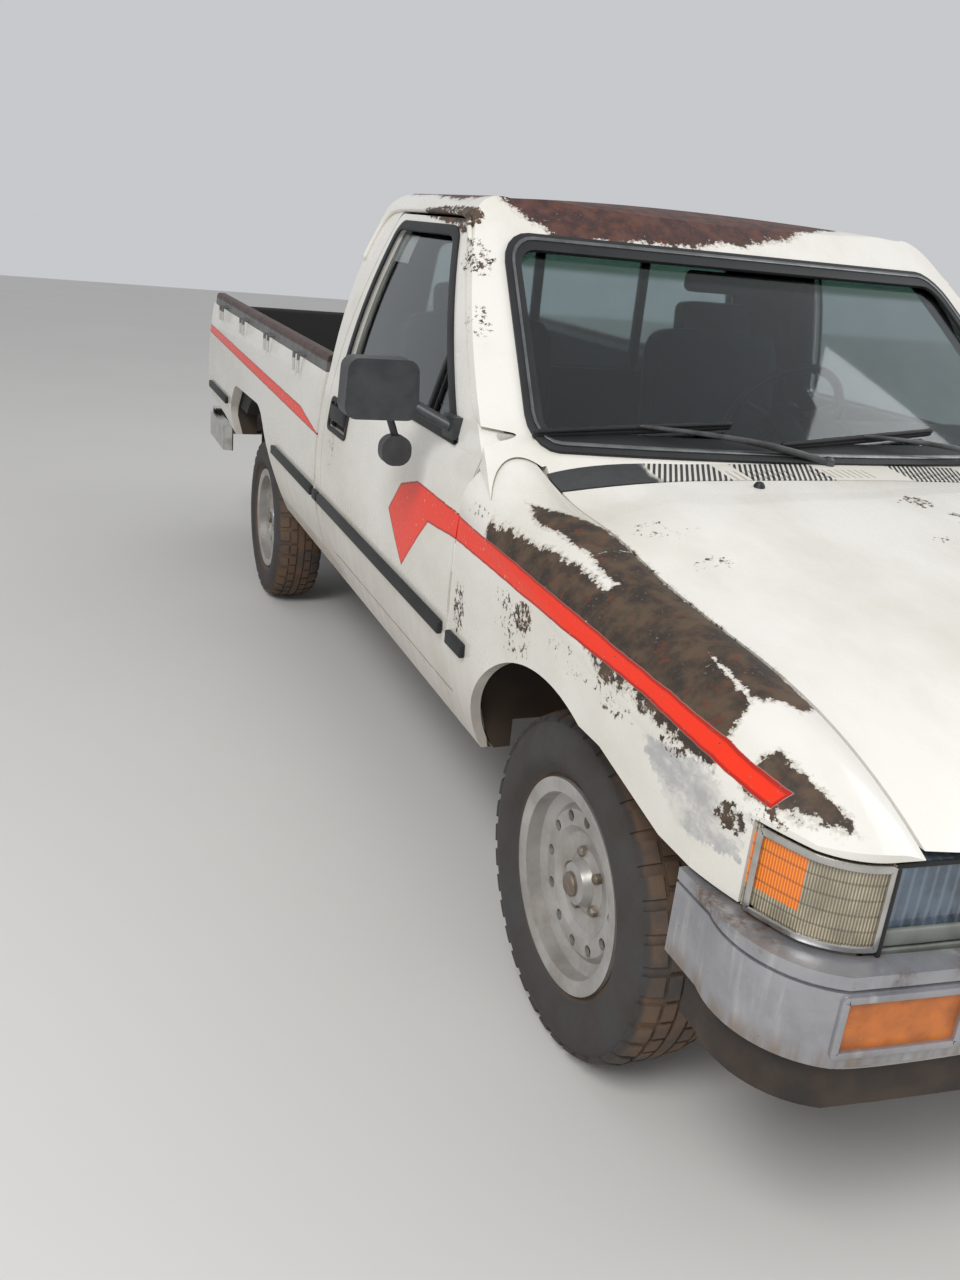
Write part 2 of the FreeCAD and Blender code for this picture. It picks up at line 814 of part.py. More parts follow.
def load_bed():
    front = size("bed_front")
    back = size("bed_back")
    floor = size("bed_floor")
    under = floor - size("bed_floor_wall")
    wall = size("bed_wall")
    gate_seat = back - size("tailgate_wall") - size("panel_gap")
    gate_half = size("tailgate_half_width") + 3
    inner = size("belt_half_width") + 2 - wall
    body = bed_section(front, back)
    body = body.cut(block(-inner, inner, front + wall, gate_seat - 2, floor, 1200))
    body = body.cut(block(-gate_half, gate_half, gate_seat - 3, back + 10, under - 14, 1200))
    skirt = rocker_half - 50
    body = body.cut(block(-skirt, skirt, front - 10, back - 6, 300, under))
    rear_edge = [(3285, 300), (3285, 470), (3560, 528), (back + 10, 560), (back + 10, 300)]
    body = body.cut(prism_x(rear_edge, -FAR, FAR))
    extras = []
    arch_y = axle_y + 18
    arch_z = axle_z + 49
    for side in (-1, 1):
        low, high = sorted((side * 560, side * (inner + 2)))
        hump = Part.makeCylinder(size("rear_arch_radius") + 30, high - low,
                                 Vector(low, arch_y, arch_z), X_AXIS)
        extras.append(hump.common(block(low, high, 2000, 3700, under, 900)))
    for y in (2380, 2760, 3180, 3620):
        extras.append(block(-skirt, skirt, y - 30, y + 30, under - 42, under + 1))
    extras.append(block(-skirt, skirt, back - 96, back - 40, under - 42, under - 14))
    extras.append(block(-skirt, skirt, gate_seat - 40, gate_seat - 2, under - 42, floor))
    for index in range(9):
        x = -480 + index * 120
        extras.append(block(x - 22, x + 22, front + wall + 40, gate_seat - 50,
                            floor - 1, floor + 7))
    body = joined([body] + extras)
    cuts = []
    for side in (-1, 1):
        low, high = sorted((side * 582, side * FAR))
        cuts.append(Part.makeCylinder(size("rear_arch_radius"), high - low,
                                      Vector(low, arch_y, arch_z), X_AXIS))
        for near, top in ((inner + 28, 760), (skirt, under - 4)):
            low, high = sorted((side * near, side * FAR))
            lip = prism_x(rear_arch_outline(), low, high)
            cuts.append(lip.common(block(-FAR, FAR, 2000, 3700, 200, top)))
    return body.cut(Part.makeCompound(cuts))


def tailgate():
    back = size("bed_back")
    front = back - size("tailgate_wall")
    half = size("tailgate_half_width") - 5
    low = size("bed_floor") - 20
    high = size("bed_top") - 6
    outline = rounded([(front, low), (back, low), (back, high), (front, high)],
                      [5, 5, 12, 12])
    gate = prism_x(outline, -half, half)
    panel = rounded([(-half + 60, low + 60), (half - 60, low + 60),
                     (half - 60, high - 60), (-half + 60, high - 60)], [25] * 4)
    gate = gate.cut(prism_y(panel, back - 5, back + 5))
    latch = rounded([(-85, high - 120), (85, high - 120), (85, high - 75), (-85, high - 75)],
                    [8] * 4)
    gate = gate.cut(prism_y(latch, back - 22, back + 5))
    pins = both_sides(rod((half - 4, back - 8, low + 8), (half + 7.7, back - 8, low + 8), 7))
    return joined([gate] + pins.Solids)


def bed_rails():
    low = size("bed_top") + size("seat_gap")
    high = size("bed_rail_top")
    front = size("bed_front") + 4
    back = size("bed_back") - 55
    out = size("belt_half_width") + 6
    outline = rounded([(out - 54, low), (out, low), (out - 6, high), (out - 48, high)],
                      [3, 3, 14, 14])
    rail = prism_y(outline, front, back)
    rail = rail.cut(prism_y([(out - 40, low - 5), (out - 12, low - 5), (out - 15, high - 9),
                             (out - 37, high - 9)], front - 5, back + 5))
    pieces = [rail]
    hook = 5
    hang = size("body_half_width") - 3
    for middle in (2060, 2560, 3070, 3590):
        for step in (-32, 32):
            y = middle + step
            pieces.append(rod((out - 8, y, low + 12), (hang, y, low + 12), hook))
            pieces.append(rod((hang, y, low + 16), (hang + 1, y, low - 46), hook))
    return both_sides(joined(pieces))


def rear_bumper():
    back = size("wheelbase") + size("rear_overhang")
    low = size("rear_bumper_bottom")
    high = size("rear_bumper_top")
    half = 800
    outline = [(back - 80, high), (back - 80, high - 8), (back - 10, high - 8),
               (back - 10, low + 8), (back - 40, low + 8), (back - 40, low),
               (back, low), (back, high)]
    middle = prism_x(outline, -half, half)
    middle = middle.cut(Part.makeCylinder(12.5, 60, Vector(0, back - 45, high - 30), Z_AXIS))
    end_plan = rounded([(half - 28, 3590), (half + 16, 3610), (half + 16, back - 4),
                        (half - 28, back)], [6, 20, 30, 2])
    end = prism_z(end_plan, low, high - 22)
    inside = rail_inner(3800)
    bracket = block(inside + 5, inside + 55, size("bed_back") - 45 + size("seat_gap"),
                    back - 9, high - 32, high - 4)
    step = block(-260, 260, back - 78, back - 6, low + 14, low + 22)
    pieces = [middle, step] + both_sides(end).Solids + both_sides(bracket).Solids
    return joined(pieces)


def tail_lamps():
    back = size("bed_back")
    outline = rounded([(706, 668), (800, 668), (800, 880), (706, 880)], [10] * 4)
    return both_sides(prism_y(outline, back + size("seat_gap"), back + 24))


# Chassis
frame_front = panel_front + 20 + size("seat_gap")


def rail_plan(side_inset):
    front_gap = size("rail_front_half_gap") + side_inset
    rear_gap = size("rail_rear_half_gap") + side_inset
    front_out = size("rail_front_half_gap") + size("rail_width") - side_inset
    rear_out = size("rail_rear_half_gap") + size("rail_width") - side_inset
    back = size("bed_back") - 45
    return [(front_gap, frame_front), (front_out, frame_front), (front_out, 270),
            (rear_out, 900), (rear_out, back), (rear_gap, back), (rear_gap, 900),
            (front_gap, 270)]


def rail_side(inset):
    drop = size("rail_depth") - 2 * inset
    back = size("bed_back") - 45
    low = size("floor_height") - 10 - inset
    high = size("bed_floor") - size("bed_floor_wall") - 42 - size("seat_gap") - inset
    top = [(frame_front, 520 - inset), (-260, 520 - inset), (330, low),
           (size("cab_back"), low), (2280, high), (back, high)]
    return top + [(y, z - drop) for y, z in reversed(top)]


def rail():
    wall = size("rail_wall")
    outer = prism_z(rail_plan(0), 200, 700).common(prism_x(rail_side(0), 200, 600))
    inner = prism_z(rail_plan(wall), 200, 700).common(prism_x(rail_side(wall), 200, 600))
    return outer.cut(inner)


def rail_height(y):
    side = rail_side(0)
    top = side[:len(side) // 2]
    for (y0, z0), (y1, z1) in zip(top, top[1:]):
        if y0 <= y <= y1:
            return z0 + (z1 - z0) * (y - y0) / (y1 - y0)
    return top[-1][1]


def rail_inner(y):
    front = size("rail_front_half_gap")
    rear = size("rail_rear_half_gap")
    share = min(max((y - 270) / 630, 0), 1)
    return front + (rear - front) * share


tower_half = 110
tower_low = 222
tower_high = 470


# Crossmembers: place, width, bottom, top
CROSSMEMBERS = [
    (-560, 70, 446, 508),
    (700, 80, 292, 342),
    (1560, 80, 385, 427),
    (2440, 80, 486, 548),
    (3400, 80, 486, 548),
    (3850, 80, 486, 548),
]


def chassis_frame():
    pieces = [rail(), mirrored(rail())]
    for y, width, low, high in CROSSMEMBERS:
        half = min(rail_inner(y - width / 2), rail_inner(y + width / 2)) + 2
        pieces.append(block(-half, half, y - width / 2, y + width / 2, low, high))
    inner = size("rail_front_half_gap")
    outer = inner + size("rail_width")
    pieces.append(block(-inner - 2, inner + 2, -75, 75, 262, 335))
    for side in (-1, 1):
        low, high = sorted((side * (inner - 15), side * outer))
        pieces.append(block(low, high, -tower_half, tower_half, tower_low, tower_high))
        for y in (620, 1500):
            x = side * (rail_inner(y) + 30)
            pieces.append(rod((x, y, rail_height(y) - 2), (x, y, size("floor_height")), 26))
    return joined(pieces)


def leaf_curve(leaf, half_length):
    """One leaf as a closed outline: an arc band on the spring's own radius."""
    thick = size("leaf_thickness")
    radius = 4022
    low = axle_z + size("axle_tube_radius") + 10 + (3 - leaf) * (thick - 0.1)
    drop = radius - math.sqrt(radius ** 2 - half_length ** 2)
    front = axle_y - half_length
    back = axle_y + half_length
    return [(front, low + drop), (axle_y, low, back, low + drop),
            (back, low + drop + thick), (axle_y, low + thick, front, low + drop + thick)]


def leaf_spring():
    half = size("spring_width") / 2
    middle = size("spring_half_gap")
    thick = size("leaf_thickness")
    pieces = []
    for leaf, length in enumerate((600, 480, 360, 240)):
        pieces.append(prism_x(leaf_curve(leaf, length), middle - half, middle + half))
    seat = axle_z + size("axle_tube_radius") + 10 + 3 * (thick - 0.1)
    eye_z = seat + 55
    for y in (axle_y - 600, axle_y + 600):
        pieces.append(rod((middle - half, y, eye_z), (middle + half, y, eye_z), 18))
        top = min(rail_height(y - 18), rail_height(y + 18)) - size("rail_depth")
        pieces.append(block(middle - half, middle - half + 20, y - 18, y + 18, eye_z,
                            top - size("seat_gap")))
    pieces.append(block(middle - half - 6, middle + half + 6, axle_y - 55, axle_y + 55,
                        seat + thick - 2, seat + thick + 12))
    return joined(pieces)


def rear_axle():
    half_track = size("rear_half_track")
    tube = size("axle_tube_radius")
    middle = (0, axle_y, axle_z)
    ball = Part.makeSphere(132)
    ball.Placement = Placement(Vector(*middle), Rotation(Z_AXIS, 135))
    pieces = [rod((-half_track + 120, axle_y, axle_z), (half_track - 120, axle_y, axle_z), tube),
              ball,
              rod((0, axle_y - 200, axle_z), middle, 52)]
    for side in (-1, 1):
        drum = side * (half_track - 125)
        face = side * (half_track - 42)
        tip = side * (half_track + 34)
        pieces.append(rod((drum, axle_y, axle_z), (face, axle_y, axle_z), 124))
        pieces.append(rod((face, axle_y, axle_z), (tip, axle_y, axle_z), size("stub_radius")))
        low, high = sorted((side * (size("spring_half_gap") - 36),
                            side * (size("spring_half_gap") + 36)))
        pieces.append(block(low, high, axle_y - 55, axle_y + 55, axle_z, axle_z + tube + 9.7))
    return joined(pieces)


def propshaft():
    gap = size("seat_gap")
    front = 1000 + gap
    back = axle_y - 200 - gap
    pieces = [rod((0, front, 398), (0, front + 30, 398), 45),
              rod((0, front + 15, 398), (0, back - 15, axle_z), 32),
              rod((0, back - 30, axle_z), (0, back, axle_z), 45)]
    return joined(pieces)


def exhaust():
    route = [(-219.5, 60, 400), (-250, 320, 262), (-262, 1500, 268), (-262, 1700, 330),
             (-262, 2240, 330), (-300, 2600, 395), (-300, 2900, 400), (-374, 3150, 395),
             (-374, 3890, 395)]
    pieces = []
    for start, end in zip(route, route[1:]):
        pieces.append(rod(start, end, 23))
        pieces.append(Part.makeSphere(24, Vector(*start)))
    pieces.append(rod((-262, 1740, 330), (-262, 2200, 330), 74))
    return joined(pieces)


keep_shape("load_bed", load_bed())
keep_shape("tailgate", tailgate())
keep_shape("bed_rails", bed_rails())
keep_shape("rear_bumper", rear_bumper())
keep_shape("tail_lamps", tail_lamps())
keep_shape("chassis_frame", chassis_frame())
keep_shape("leaf_springs", both_sides(leaf_spring()))
keep_shape("rear_axle", rear_axle())
keep_shape("propshaft", propshaft())
keep_shape("exhaust", exhaust())


# Engine, gearbox, tank and mud flaps, as primitives bound to the sheet
def bound_box(name, low, high):
    box = doc.addObject("Part::Box", name)
    for axis, side, first, last in zip("xyz", ("Length", "Width", "Height"), low, high):
        box.setExpression(side, "(%s) - (%s)" % (last, first))
        box.setExpression(".Placement.Base." + axis, first)
    return box


def bound_rod(name, start, length, radius, axis):
    bar = doc.addObject("Part::Cylinder", name)
    bar.setExpression("Radius", radius)
    bar.setExpression("Height", length)
    turn = {"x": Rotation(Y_AXIS, 90), "y": Rotation(X_AXIS, -90), "z": Rotation()}[axis]
    bar.Placement = Placement(Vector(), turn)
    for letter, value in zip("xyz", start):
        bar.setExpression(".Placement.Base." + letter, value)
    return bar


def fused(name, items):
    whole = doc.addObject("Part::MultiFuse", name)
    whole.Shapes = items
    return whole


def keep_bound(item, label, place=None):
    doc.recompute()
    keep(item, label, body_place() if place is None else place)


tower_side = "(sizes.rail_front_half_gap - 15 - sizes.seat_gap)"
keep_bound(fused("engine_block", [
    bound_box("engine_core", ("-195", "-250", "348"), ("195", "330", "840")),
    bound_box("engine_mount_left", ("190", "10", "440"), (tower_side, "70", "480")),
    bound_box("engine_mount_right", ("-" + tower_side, "10", "440"), ("-190", "70", "480")),
]), "engine_block")

keep_bound(fused("gearbox", [
    bound_rod("bell_housing", ("0", "330.3", "452"), "94", "150", "y"),
    bound_box("gear_case", ("-98", "420", "345"), ("98", "1000", "515")),
]), "gearbox")

tank_body = bound_box("tank_body", ("105", "1790", "292"),
                      ("sizes.rail_rear_half_gap - sizes.seat_gap", "2330", "462"))
doc.recompute()
tank = doc.addObject("Part::Fillet", "fuel_tank")
tank.Base = tank_body
tank.Edges = [(index + 1, 26, 26) for index in range(12)]
keep_bound(tank, "fuel_tank")

flap_top = "sizes.bed_floor - sizes.bed_floor_wall - sizes.seat_gap"
flaps = doc.addObject("Part::Compound", "mud_flaps")
flaps.Links = [
    bound_box("flap_left", ("600", "3225", "240"), ("712", "3233", flap_top)),
    bound_box("flap_right", ("-712", "3225", "240"), ("-600", "3233", flap_top)),
]
keep_bound(flaps, "mud_flaps")


# Inside the cab
def seat():
    floor = size("floor_height") + size("floor_wall") + size("seat_gap")
    back = size("cab_back") - size("cab_back_wall") - 14
    side = [(back - 520, floor), (back - 60, floor), (back - 40, floor + 120),
            (back, 1150), (back - 6, 1168, back - 30, 1172), (back - 80, 1160),
            (back - 170, floor + 290), (back - 500, floor + 262),
            (back - 556, floor + 250, back - 560, floor + 190), (back - 540, floor + 100)]
    body = prism_x(side, 165, 640)
    head_side = rounded([(back - 96, 1120), (back - 8, 1120), (back - 4, 1262),
                         (back - 78, 1262)], [10, 10, 24, 24])
    head = prism_x(head_side, 270, 535)
    return joined([body, head])


def dashboard():
    front = size("firewall_place") + size("firewall_wall") + size("seat_gap")
    side = [(front, 640), (front + 90, 600), (front + 200, 640), (front + 290, 760),
            (front + 320, 900), (front + 300, 948, front + 230, 976), (front + 40, 986),
            (front, 960)]
    board = prism_x(side, -692, 692)
    hood_side = [(front + 110, 975), (front + 250, 965), (front + 292, 1010),
                 (front + 230, 1056, front + 150, 1046)]
    middle = size("steering_wheel_side")
    hood = prism_x(hood_side, middle - 190, middle + 190)
    slope = math.radians(size("column_slope"))
    run = Vector(0, math.cos(slope), math.sin(slope))
    hub = Vector(middle, size("steering_wheel_place"), size("steering_wheel_height"))
    column = rod(hub - run * 430, hub - run * (35 + size("seat_gap")), 34)
    return joined([board, hood, column]).common(cab_cavity(size("seat_gap")))


def steering_wheel():
    slope = math.radians(size("column_slope"))
    run = Vector(0, math.cos(slope), math.sin(slope))
    hub = Vector(size("steering_wheel_side"), size("steering_wheel_place"),
                 size("steering_wheel_height"))
    radius = size("steering_wheel_radius")
    ring = Part.makeTorus(radius - 13, 13, hub, run)
    boss = Part.makeCylinder(34, 60, hub - run * 35, run)
    pad = Part.makeCylinder(62, 26, hub - run * 10, run)
    up = Vector(0, -math.sin(slope), math.cos(slope))
    pieces = [ring, boss, pad]
    for turn in (20, 160, 235, 305):
        angle = math.radians(turn)
        out = X_AXIS * math.cos(angle) + up * math.sin(angle)
        pieces.append(rod(hub + out * 30, hub + out * (radius - 14), 11))
    return joined(pieces)


def floor_controls():
    top = tunnel_top + size("seat_gap")
    lever = joined([rod((0, 860, top), (0, 860, top + 30), 45),
                    rod((0, 860, top + 20), (0, 930, top + 250), 8),
                    Part.makeSphere(24, Vector(0, 932, top + 258))])
    brake = joined([block(60, 100, 1020, 1100, top, top + 30),
                    rod((80, 1060, top + 20), (80, 940, top + 130), 13)])
    return Part.makeCompound([lever, brake])


def interior_mirror():
    roof = size("roof_height")
    low = roof - 188
    high = low + 50
    face = rounded([(-125, low), (125, low), (125, high), (-125, high)], [18] * 4)
    head = prism_y(face, 930, 955)
    stalk = rod((0, 945, high - 15), (0, 985, roof - 23), 7)
    return joined([head, stalk]).cut(cab_shape).Solids[0]


keep_shape("seats", both_sides(seat()))
keep_shape("dashboard", dashboard())
keep_shape("steering_wheel", steering_wheel())
keep_shape("floor_controls", floor_controls())
keep_shape("interior_mirror", interior_mirror())


# Front suspension: arms on the towers, knuckles on the arms, one tie rod
pin_radius = 15
arm_gap = 0.5
low_arm = 232
high_arm = 400


def front_arms():
    inner = size("rail_front_half_gap") + size("rail_width")
    pin = size("kingpin_half_width")
    pieces = []
    for z, thick, half in ((low_arm, 26, 95), (high_arm, 20, 70)):
        plan = [(inner, -half), (pin - 60, -24), (pin, -24), (pin + 24, 0, pin, 24),
                (pin - 60, 24), (inner, half), (inner, half - 34), (pin - 90, 10),
                (pin - 90, -10), (inner, -half + 34)]
        arm = prism_z(plan, z - thick / 2, z + thick / 2)
        arm = arm.cut(Part.makeCylinder(pin_radius + arm_gap, 80, Vector(pin, 0, z - 40), Z_AXIS))
        pieces.append(arm)
    return Part.makeCompound(pieces + [mirrored(piece) for piece in pieces])


def knuckle():
    pin = size("kingpin_half_width")
    half_track = size("front_half_track")
    low = low_arm + 13 + 3
    high = high_arm - 10 - 3
    pieces = [rod((pin, 0, low), (pin, 0, high), 24),
              rod((pin, 0, low_arm - 16), (pin, 0, high_arm + 14), pin_radius),
              block(pin - 6, half_track - 60 + 22, -30, 30, hub_height - 42, hub_height + 42)]
    face = half_track - 30
    pieces.append(rod((pin + 10, 0, hub_height), (face, 0, hub_height), 34))
    pieces.append(rod((face, 0, hub_height), (half_track + 34, 0, hub_height),
                      size("stub_radius")))
    disc = rod((half_track - 52, 0, hub_height), (half_track - 38, 0, hub_height), 118)
    pieces.append(disc)
    arm = rod((pin - 10, 10, hub_height - 30), (pin - 22, 128, hub_height - 30), 12)
    eye = rod((pin - 22, 128, hub_height - 44), (pin - 22, 128, hub_height - 14), 18)
    return joined(pieces + [arm, eye])


def tie_rod():
    pin = size("kingpin_half_width")
    z = hub_height - 62
    eye = rod((pin - 22, 128, z - 10), (pin - 22, 128, z + 17.5), 17)
    bar = rod((-pin + 22, 128, z), (pin - 22, 128, z), 11)
    return joined([bar, eye, mirrored(eye)])


keep_shape("front_arms", front_arms(), level_place())
keep_shape("knuckle_left", knuckle(), level_place())
keep_shape("knuckle_right", mirrored(knuckle()), level_place())
keep_shape("tie_rod", tie_rod(), level_place())


# Wheels: revolved about the hub line, outboard side at +X of their own sketch
def profile_sketch(body, name, points):
    sketch = body.newObject("Sketcher::SketchObject", name)
    plane = [item for item in body.Origin.OriginFeatures if item.Role == "XY_Plane"][0]
    sketch.AttachmentSupport = [(plane, "")]
    sketch.MapMode = "FlatFace"
    lines = []
    for (x0, y0), (x1, y1) in zip(points, points[1:] + points[:1]):
        lines.append(Part.LineSegment(Vector(x0, y0, 0), Vector(x1, y1, 0)))
    sketch.addGeometry(lines, False)
    return sketch


def rim_body(label):
    radius = size("rim_radius")
    bead = size("bead_radius")
    well = size("well_radius")
    half = size("rim_width") / 2
    wall = size("rim_wall")
    bore = size("stub_radius") + size("seat_gap")
    outer = [
        (-half, radius), (-half + 9, radius), (-half + 11, bead), (-half + 42, bead - 2),
        (-half + 56, well), (half - 46, well), (half - 36, bead - 2), (half - 11, bead),
        (half - 9, radius), (half, radius),
    ]
    inner = [
        (half, radius - wall), (half - 3, bead - wall - 4), (half - 32, bead - wall - 6),
        (half - 42, well - wall), (half - 34, well - 16), (half - 34, 104), (half - 44, 92),
        (half - 48, 62), (half - 40, 46), (half - 22, 38), (half - 18, 26), (half - 20, 0),
        (half - 26, 0), (half - 26, bore), (-18, bore), (-18, 46), (half - 58, 62),
        (half - 54, 92), (half - 42, 110), (half - 42, well - 22), (half - 50, well - wall),
        (-half + 58, well - wall), (-half + 44, bead - wall - 2), (-half + 13, bead - wall),
        (-half + 3, radius - wall),  (-half, radius - wall),
    ]
    body = doc.addObject("PartDesign::Body", label)
    sketch = profile_sketch(body, label + "_profile", outer + inner)
    turned = body.newObject("PartDesign::Revolution", label + "_turned")
    turned.Profile = sketch
    turned.ReferenceAxis = (sketch, ["H_Axis"])
    turned.Angle = 360
    doc.recompute()
    vents = body.newObject("Sketcher::SketchObject", label + "_vent")
    plane = [item for item in body.Origin.OriginFeatures if item.Role == "YZ_Plane"][0]
    vents.AttachmentSupport = [(plane, "")]
    vents.MapMode = "FlatFace"
    vents.addGeometry(Part.Circle(Vector(size("vent_circle"), 0, 0), Z_AXIS,
                                  size("vent_radius")), False)
    hole = body.newObject("PartDesign::Pocket", label + "_hole")
    hole.Profile = vents
    hole.Length = 200
    hole.Reversed = True
    doc.recompute()
    ring = body.newObject("PartDesign::PolarPattern", label + "_holes")
    ring.Originals = [hole]
    ring.Axis = (vents, ["N_Axis"])
    ring.Angle = 360
    ring.Occurrences = int(size("vent_count"))
    body.Tip = ring
    doc.recompute()
    return body


def tyre_body(label):
    radius = size("tyre_radius")
    half = size("tyre_width") / 2
    rim = size("rim_width") / 2 - 11
    bead = size("bead_radius") + size("seat_gap")
    right = [(rim - 0.3, bead), (rim - 0.3, bead + 20), (rim + 14, bead + 34),
             (half, bead + 60), (half - 6, radius - 32), (half - 19, radius - 9),
             (half - 60, radius)]
    left = [(-x, y) for x, y in reversed(right)]
    body = doc.addObject("PartDesign::Body", label)
    sketch = profile_sketch(body, label + "_profile",
                            right + left + [(-rim + 24, bead + 2), (rim - 24, bead + 2)])
    turned = body.newObject("PartDesign::Revolution", label + "_turned")
    turned.Profile = sketch
    turned.ReferenceAxis = (sketch, ["H_Axis"])
    turned.Angle = 360
    doc.recompute()
    return body


# Corner, side (+1 left), place along the truck, half track
CORNERS = [
    ("front_left", 1, 0, size("front_half_track")),
    ("front_right", -1, 0, size("front_half_track")),
    ("rear_left", 1, size("wheelbase"), size("rear_half_track")),
    ("rear_right", -1, size("wheelbase"), size("rear_half_track")),
]
for corner, side, along, half_track in CORNERS:
    turn = Rotation() if side > 0 else Rotation(Z_AXIS, 180)
    spot = Placement(Vector(side * half_track, front_axle_y + along, hub_height), turn)
    for make, name in ((rim_body, "rim_"), (tyre_body, "tyre_")):
        body = make(name + corner)
        body.Placement = spot
        parts.append(body)

# Spare wheel, lying under the end of the bed
spare_rim = rim_body("spare_rim")
spare_tyre = tyre_body("spare_tyre")
flat = Placement(Vector(0, 3560, 486 - size("seat_gap") - size("tyre_width") / 2),
                 Rotation(Y_AXIS, 90))
spare_shape = Part.makeCompound([spare_rim.Shape, spare_tyre.Shape])
spare_shape.Placement = flat
spare = doc.addObject("Part::Feature", "spare_wheel")
spare.Shape = spare_shape
keep(spare, "spare_wheel", body_place())

doc.recompute()
for item in doc.Objects:
    if "Invalid" in item.State or "Error" in item.State:
        raise RuntimeError("failed object: " + item.Name)

os.makedirs("parts", exist_ok=True)
for item in parts:
    shape = item.Shape
    if shape.isNull() or not shape.isValid() or not shape.Solids:
        raise RuntimeError("bad shape: " + item.Label)
    shape.exportStep("parts/%s.step" % item.Label)
    print(item.Label, len(shape.Solids), round(shape.Volume / 1e6, 2))
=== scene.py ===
import math

import bpy
import bmesh
from mathutils import Matrix, Vector


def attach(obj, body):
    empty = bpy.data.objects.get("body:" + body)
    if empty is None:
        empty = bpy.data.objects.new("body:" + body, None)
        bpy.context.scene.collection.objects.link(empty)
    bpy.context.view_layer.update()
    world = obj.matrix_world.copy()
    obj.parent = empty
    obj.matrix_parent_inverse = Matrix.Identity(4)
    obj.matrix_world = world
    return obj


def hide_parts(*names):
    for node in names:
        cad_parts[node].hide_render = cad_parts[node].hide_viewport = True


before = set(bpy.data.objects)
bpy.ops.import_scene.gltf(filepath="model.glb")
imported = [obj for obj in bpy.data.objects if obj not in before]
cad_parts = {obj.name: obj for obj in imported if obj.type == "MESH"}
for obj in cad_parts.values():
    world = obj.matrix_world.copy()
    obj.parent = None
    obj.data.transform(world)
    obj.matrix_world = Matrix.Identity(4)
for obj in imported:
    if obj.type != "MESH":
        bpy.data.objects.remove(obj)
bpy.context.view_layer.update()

# Camera: beside the right front corner, a little above the roof, looking back
# and down along the truck.
FRONT_AXLE_Y = -1.6425
WHEELBASE = 2.85
CAMERA_PLACE = (-1.618, FRONT_AXLE_Y - 1.539, 1.3674)
CAMERA_YAW, CAMERA_PITCH, CAMERA_ROLL = 22.816, -18.840, 5.042
bpy.ops.object.select_all(action="DESELECT")
bpy.ops.object.camera_add()
camera = bpy.context.object
camera.data.sensor_width = 36
camera.data.lens = 30.99
camera.data.clip_start = 0.05
camera.matrix_world = (
    Matrix.Translation(CAMERA_PLACE)
    @ Matrix.Rotation(math.radians(-CAMERA_YAW), 4, "Z")
    @ Matrix.Rotation(math.radians(90 + CAMERA_PITCH), 4, "X")
    @ Matrix.Rotation(math.radians(CAMERA_ROLL), 4, "Z")
)
bpy.context.scene.camera = camera
bpy.context.scene.view_settings.view_transform = "Standard"

# Chassis: a pressed-steel ladder frame with leaf springs, axle and driveline,
# riveted and welded, painted black long ago and covered in dry earth.


def colour(red, green, blue):
    """A colour as it is seen, 0 to 255, made linear for a shader's socket."""
    def linear(value):
        value = value / 255
        return value / 12.92 if value <= 0.04045 else ((value + 0.055) / 1.055) ** 2.4
    return (linear(red), linear(green), linear(blue), 1.0)


class Sheet:
    """A material's node tree, with a short way to add and join nodes."""

    def __init__(self, tree):
        self.tree = tree

    def add(self, kind, *inputs, **settings):
        node = self.tree.nodes.new("ShaderNode" + kind)
        for name, value in settings.items():
            setattr(node, name, value)
        for index, value in enumerate(inputs):
            self.put(node, index, value)
        return node

    def put(self, node, key, value):
        if isinstance(value, bpy.types.NodeSocket):
            self.tree.links.new(value, node.inputs[key])
        else:
            node.inputs[key].default_value = value

    def give(self, node, **inputs):
        """Fills the inputs called by name, with _ for a space."""
        for name, value in inputs.items():
            self.put(node, name.replace("_", " "), value)

    def group(self, tree, **inputs):
        node = self.tree.nodes.new("ShaderNodeGroup")
        node.node_tree = tree
        self.give(node, **inputs)
        return node.outputs

    def math(self, operation, *values):
        return self.add("Math", *values, operation=operation).outputs[0]

    def chain(self, operation, values):
        """The values joined two by two, from left to right."""
        result = values[0]
        for value in values[1:]:
            result = self.math(operation, result, value)
        return result

    def plus(self, *values):
        return self.chain("ADD", values)

    def times(self, *values):
        return self.chain("MULTIPLY", values)

    def least(self, *values):
        return self.chain("MINIMUM", values)

    def most(self, *values):
        return self.chain("MAXIMUM", values)

    def minus(self, first, second):
        return self.math("SUBTRACT", first, second)

    def unsigned(self, value):
        return self.math("ABSOLUTE", value)

    def line(self, value, factor, offset):
        return self.math("MULTIPLY_ADD", value, factor, offset)

    def wave(self, value, pitch):
        return self.math("SINE", self.times(value, 2 * math.pi / pitch))

    def mix(self, share, first, second):
        node = self.add("Mix", data_type="RGBA")
        for socket, value in zip((0, 6, 7), (share, first, second)):
            self.put(node, socket, value)
        return node.outputs[2]

    def noise(self, place, scale, detail=4.0, roughness=0.55):
        node = self.add("TexNoise")
        self.give(node, Vector=place, Scale=scale, Detail=detail, Roughness=roughness)
        return node.outputs["Fac"]

    def stretched(self, place, factors):
        return self.add("VectorMath", place, factors, operation="MULTIPLY").outputs[0]

    def ramp(self, value, low, high, start=0.0, end=1.0):
        node = self.add("MapRange", interpolation_type="SMOOTHSTEP")
        self.give(node, Value=value, From_Min=low, From_Max=high, To_Min=start, To_Max=end)
        return node.outputs[0]

    def axes(self, place):
        return self.add("SeparateXYZ", place).outputs

    def relief(self, shader, height, strength, distance=0.002):
        node = self.add("Bump")
        self.give(node, Strength=strength, Distance=distance, Height=height)
        self.put(shader, "Normal", node.outputs[0])


